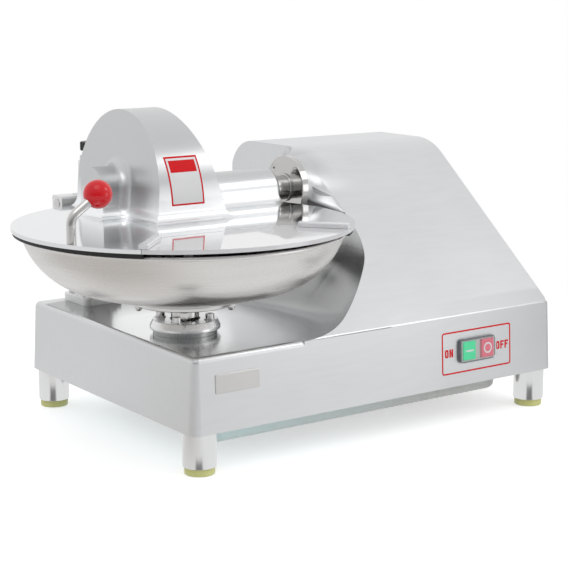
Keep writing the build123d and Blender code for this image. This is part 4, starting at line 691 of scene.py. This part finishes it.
def curved_sheet(skin, left, right, low, high, lift):
    """Closed sheet over a part of a curved skin, given by its shares of the skin's width and height."""
    across, up = 10, 16
    verts, faces = [], []
    for level in (FILM_BACK, lift):
        for j in range(up + 1):
            for i in range(across + 1):
                verts.append(skin(left + (right - left) * i / across, low + (high - low) * j / up, level))
    row = across + 1
    layer = row * (up + 1)
    for j in range(up):
        for i in range(across):
            a = j * row + i
            quad = (a, a + 1, a + row + 1, a + row)
            faces += [quad[::-1], tuple(k + layer for k in quad)]
    rim = list(range(row)) + [(j + 1) * row + across for j in range(up)]
    rim += [up * row + i for i in range(across - 1, -1, -1)] + [j * row for j in range(up - 1, 0, -1)]
    for a, b in zip(rim, rim[1:] + rim[:1]):
        faces.append((a, b, b + layer, a + layer))
    return verts, faces


def dome_label():
    """Blank label on the dome's front: white film with a red frame and a red band at its top."""
    tree = surface_of("lid_casting")
    left, right, slant = DOME_X - 0.0215, DOME_X + 0.0265, 0.004
    top, bottom = 0.371, 0.3105
    print_lift = 0.0002                 # the print lies over the film
    side, end = 0.045, 0.036            # the frame's width, as shares of the label's width and height

    def skin(u, v, lift):
        start = Vector((left + (right - left) * u + slant * (1 - v), 0.0, bottom + (top - bottom) * v))
        hit, normal, _, _ = tree.ray_cast(start, Vector((0, 1, 0)))
        return hit + normal * lift

    mesh_piece("dome_label", *curved_sheet(skin, 0, 1, 0, 1, FILM), PAPER, "lid", "red_plastic")
    boxes = (
        (0, 1, 0, end), (0, 1, 1 - end, 1), (0, side, end, 1 - end), (1 - side, 1, end, 1 - end),
        (0.1, 0.9, 0.68, 0.92),
    )
    red = [curved_sheet(skin, *box, print_lift) for box in boxes]
    mesh_piece("dome_label_print", *join(red), PRINT, "lid", "red_plastic")


dome_label()


def button_marks():
    """A white bar on the start button and a white ring on the stop button."""
    bar, stroke, radius, steps = 0.0140, 0.0024, 0.0074, 40
    levels = (BUTTON_FACE - MARK_DEPTH, BUTTON_FACE + FILM)

    def left(u, v, out):
        return wall_point(u - BUTTON_STEP, v, out)

    def right(u, v, out):
        return wall_point(u + BUTTON_STEP, v, out)

    def circle(r):
        return [(r * cos(2 * pi * i / steps), r * sin(2 * pi * i / steps)) for i in range(steps)]

    outline = rounded_outline(bar, stroke, stroke * 0.3)
    mesh_piece("on_mark", *prism(outline, left, *levels), WHITE, "start_button", "green_plastic")
    ring = band(circle(radius), circle(radius - stroke * 0.9), right, *levels)
    mesh_piece("off_mark", *ring, WHITE, "stop_button", "red_plastic")


button_marks()


# ---------------------------------------------------------------- floor, light and camera
VIEWER = Vector((-0.578, -0.816, 0.0))    # level direction from the object to the camera


def table_tone(made):
    """The table as metal sees it: white, greyer on both sides, with a grey flag before each foot in view."""
    patches, patch_inner, patch_outer = ((-0.32, 0.02), (-0.55, 0.35)), 0.12, 0.36
    flag_start, flag_ends, flag_fade = 0.02, (0.07, 0.12, 0.12), 0.03
    x, _, _ = made.parts()
    tone = made.blend(made.span(x, 0, 1, 0.7, 1.3), grey(TABLE_LEFT, -0.003), grey(TABLE_RIGHT, -0.03))
    for centre in patches:
        _, aside, _ = ring_place(made, centre)
        tone = made.blend(made.span(aside, 1, 0, patch_inner, patch_outer), tone, grey(TABLE_RIGHT, 0.03))
    across = Vector((VIEWER.y, -VIEWER.x, 0))
    for foot, end in zip(FOOT_AXES, flag_ends):
        offset = made.add("ShaderNodeVectorMath", operation="SUBTRACT")
        made.put(offset.inputs[0], made.place)
        offset.inputs[1].default_value = (*foot, 0)
        ahead = facing(made, offset.outputs[0], VIEWER)
        beside = made.math("ABSOLUTE", facing(made, offset.outputs[0], across))
        spread = made.math("DIVIDE", beside, made.math("MAXIMUM", ahead, 0.001))
        wedge = made.span(spread, 1, 0, 0.24, 0.46)
        reach = made.span(ahead, 0, 1, flag_start, flag_start + 0.01)
        past = made.span(ahead, 1, 0, end, end + flag_fade)
        flag = made.math("MULTIPLY", wedge, made.math("MULTIPLY", reach, past))
        tone = made.blend(flag, tone, grey(TABLE_FLAG))
    return tone


def floor_finish(centre):
    """Pale floor with the object's shadow, plain white further out. Metal sees the table's tone instead."""
    white_from, white_at = 0.50, 1.0    # distances from the middle
    made = Finish("floor_white", Roughness=0.9, Specular_IOR_Level=0.0)
    cloud = made.noise(size=3.0)
    made.feed(Base_Color=made.blend(cloud, grey(0.80), grey(0.82)))
    lit = made.shader.outputs[0]
    lifted = made.add("ShaderNodeAddShader")
    made.put(lifted.inputs[0], lit)
    made.put(lifted.inputs[1], made.emission(FLOOR_GLOW).outputs[0])
    _, far, _ = ring_place(made, centre)
    plain = made.span(far, 0, 1, white_from, white_at)
    seen = made.mix_shader(plain, lifted.outputs[0], made.emission().outputs[0])
    mirrored = made.emission()
    made.put(mirrored.inputs["Color"], table_tone(made))
    path = made.add("ShaderNodeLightPath").outputs
    direct = made.math("MAXIMUM", path["Is Camera Ray"], path["Is Transmission Ray"])
    final = made.mix_shader(direct, lit, seen)
    final = made.mix_shader(path["Is Glossy Ray"], final, mirrored.outputs[0])
    made.put(made.tree.nodes["Material Output"].inputs["Surface"], final)
    return made.material


def stage_floor():
    """Round floor under the object."""
    centre, radius, rings, steps = Vector((0.274, 0.19, 0)), 2.4, 24, 96
    verts = [centre]
    for k in range(1, rings + 1):
        for i in range(steps):
            a = 2 * pi * i / steps
            verts.append(centre + Vector((cos(a), sin(a), 0)) * radius * k / rings)
    faces = [(0, 1 + i, 1 + (i + 1) % steps) for i in range(steps)]
    for k in range(rings - 1):
        a, b = 1 + k * steps, 1 + (k + 1) * steps
        faces += [(a + i, b + i, b + (i + 1) % steps, a + (i + 1) % steps) for i in range(steps)]
    data = bpy.data.meshes.new("floor")
    data.from_pydata([tuple(v) for v in verts], [], faces)
    data.materials.append(floor_finish((centre.x, centre.y)))
    floor = bpy.data.objects.new("floor", data)
    bpy.context.scene.collection.objects.link(floor)
    floor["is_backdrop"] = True


class Room(Finish):
    """The world's nodes, with the same short calls."""

    def __init__(self, name):
        self.world = bpy.data.worlds.new(name)
        self.world.use_nodes = True
        self.tree = self.world.node_tree
        self.tree.nodes.clear()
        self.place = self.add("ShaderNodeTexCoord").outputs["Generated"]


def studio():
    """White for the camera; a pale room, brighter behind and dark on the viewer's side, for the metal."""
    made = Room("studio")
    _, _, height = made.parts()
    toward = facing(made, made.place, VIEWER)
    low = made.span(height, 1, 0, 0.15, 0.75)
    dark = made.math("MULTIPLY", made.span(toward, 0, 1, 0.25, 0.95), low)
    wide = made.blend(made.span(toward, 1, 0, -0.9, 0.3), grey(ROOM_SIDE, -0.004), grey(ROOM_BACK, -0.002))
    room = made.add("ShaderNodeBackground")
    made.put(room.inputs["Color"], made.blend(dark, wide, grey(ROOM_VIEWER, -0.02)))
    white = made.add("ShaderNodeBackground")
    white.inputs["Color"].default_value = (1, 1, 1, 1)
    camera_ray = made.add("ShaderNodeLightPath").outputs["Is Camera Ray"]
    final = made.mix_shader(camera_ray, room.outputs[0], white.outputs[0])
    made.put(made.add("ShaderNodeOutputWorld").inputs["Surface"], final)
    bpy.context.scene.world = made.world


def aim_at(made, place, aim):
    """Stand a lamp or camera at a place, turned to what it looks at."""
    place = Vector(place)
    made.location = place
    made.rotation_mode = "QUATERNION"
    made.rotation_quaternion = (Vector(aim) - place).to_track_quat("-Z", "Y")
    bpy.context.scene.collection.objects.link(made)


def softbox(name, place, aim, wide, high, power):
    """A rectangular lamp; power in watts."""
    data = bpy.data.lights.new(name, "AREA")
    data.shape = "RECTANGLE"
    data.size, data.size_y, data.energy = wide, high, power
    aim_at(bpy.data.objects.new(name, data), place, aim)


def camera():
    """The photo's viewpoint, fitted to its straight edges and ellipses."""
    data = bpy.data.cameras.new("camera")
    data.lens, data.sensor_width = 97.96, 36.0
    data.clip_start, data.clip_end = 0.05, 50
    made = bpy.data.objects.new("camera", data)
    aim_at(made, (-0.9588, -1.5257, 0.5844), (0.1836, 0.0817, 0.2))
    bpy.context.scene.camera = made


stage_floor()
studio()
softbox("key", place=(1.15, -0.75, 1.25), aim=(0.25, 0.2, 0.3), wide=0.62, high=0.55, power=2.4)
softbox("low", place=(0.95, -1.0, 0.30), aim=(0.2, 0.0, 0.2), wide=0.6, high=0.5, power=1.0)
softbox("top", place=(-0.5, -0.4, 1.7), aim=(0.1, 0.15, 0.3), wide=0.9, high=0.9, power=2.5)
camera()
bpy.context.scene.view_settings.view_transform = "Standard"

boxes = {"cad": CAD_BOX, "visual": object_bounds()}
{key: [list(corner) for corner in box] for key, box in boxes.items()}
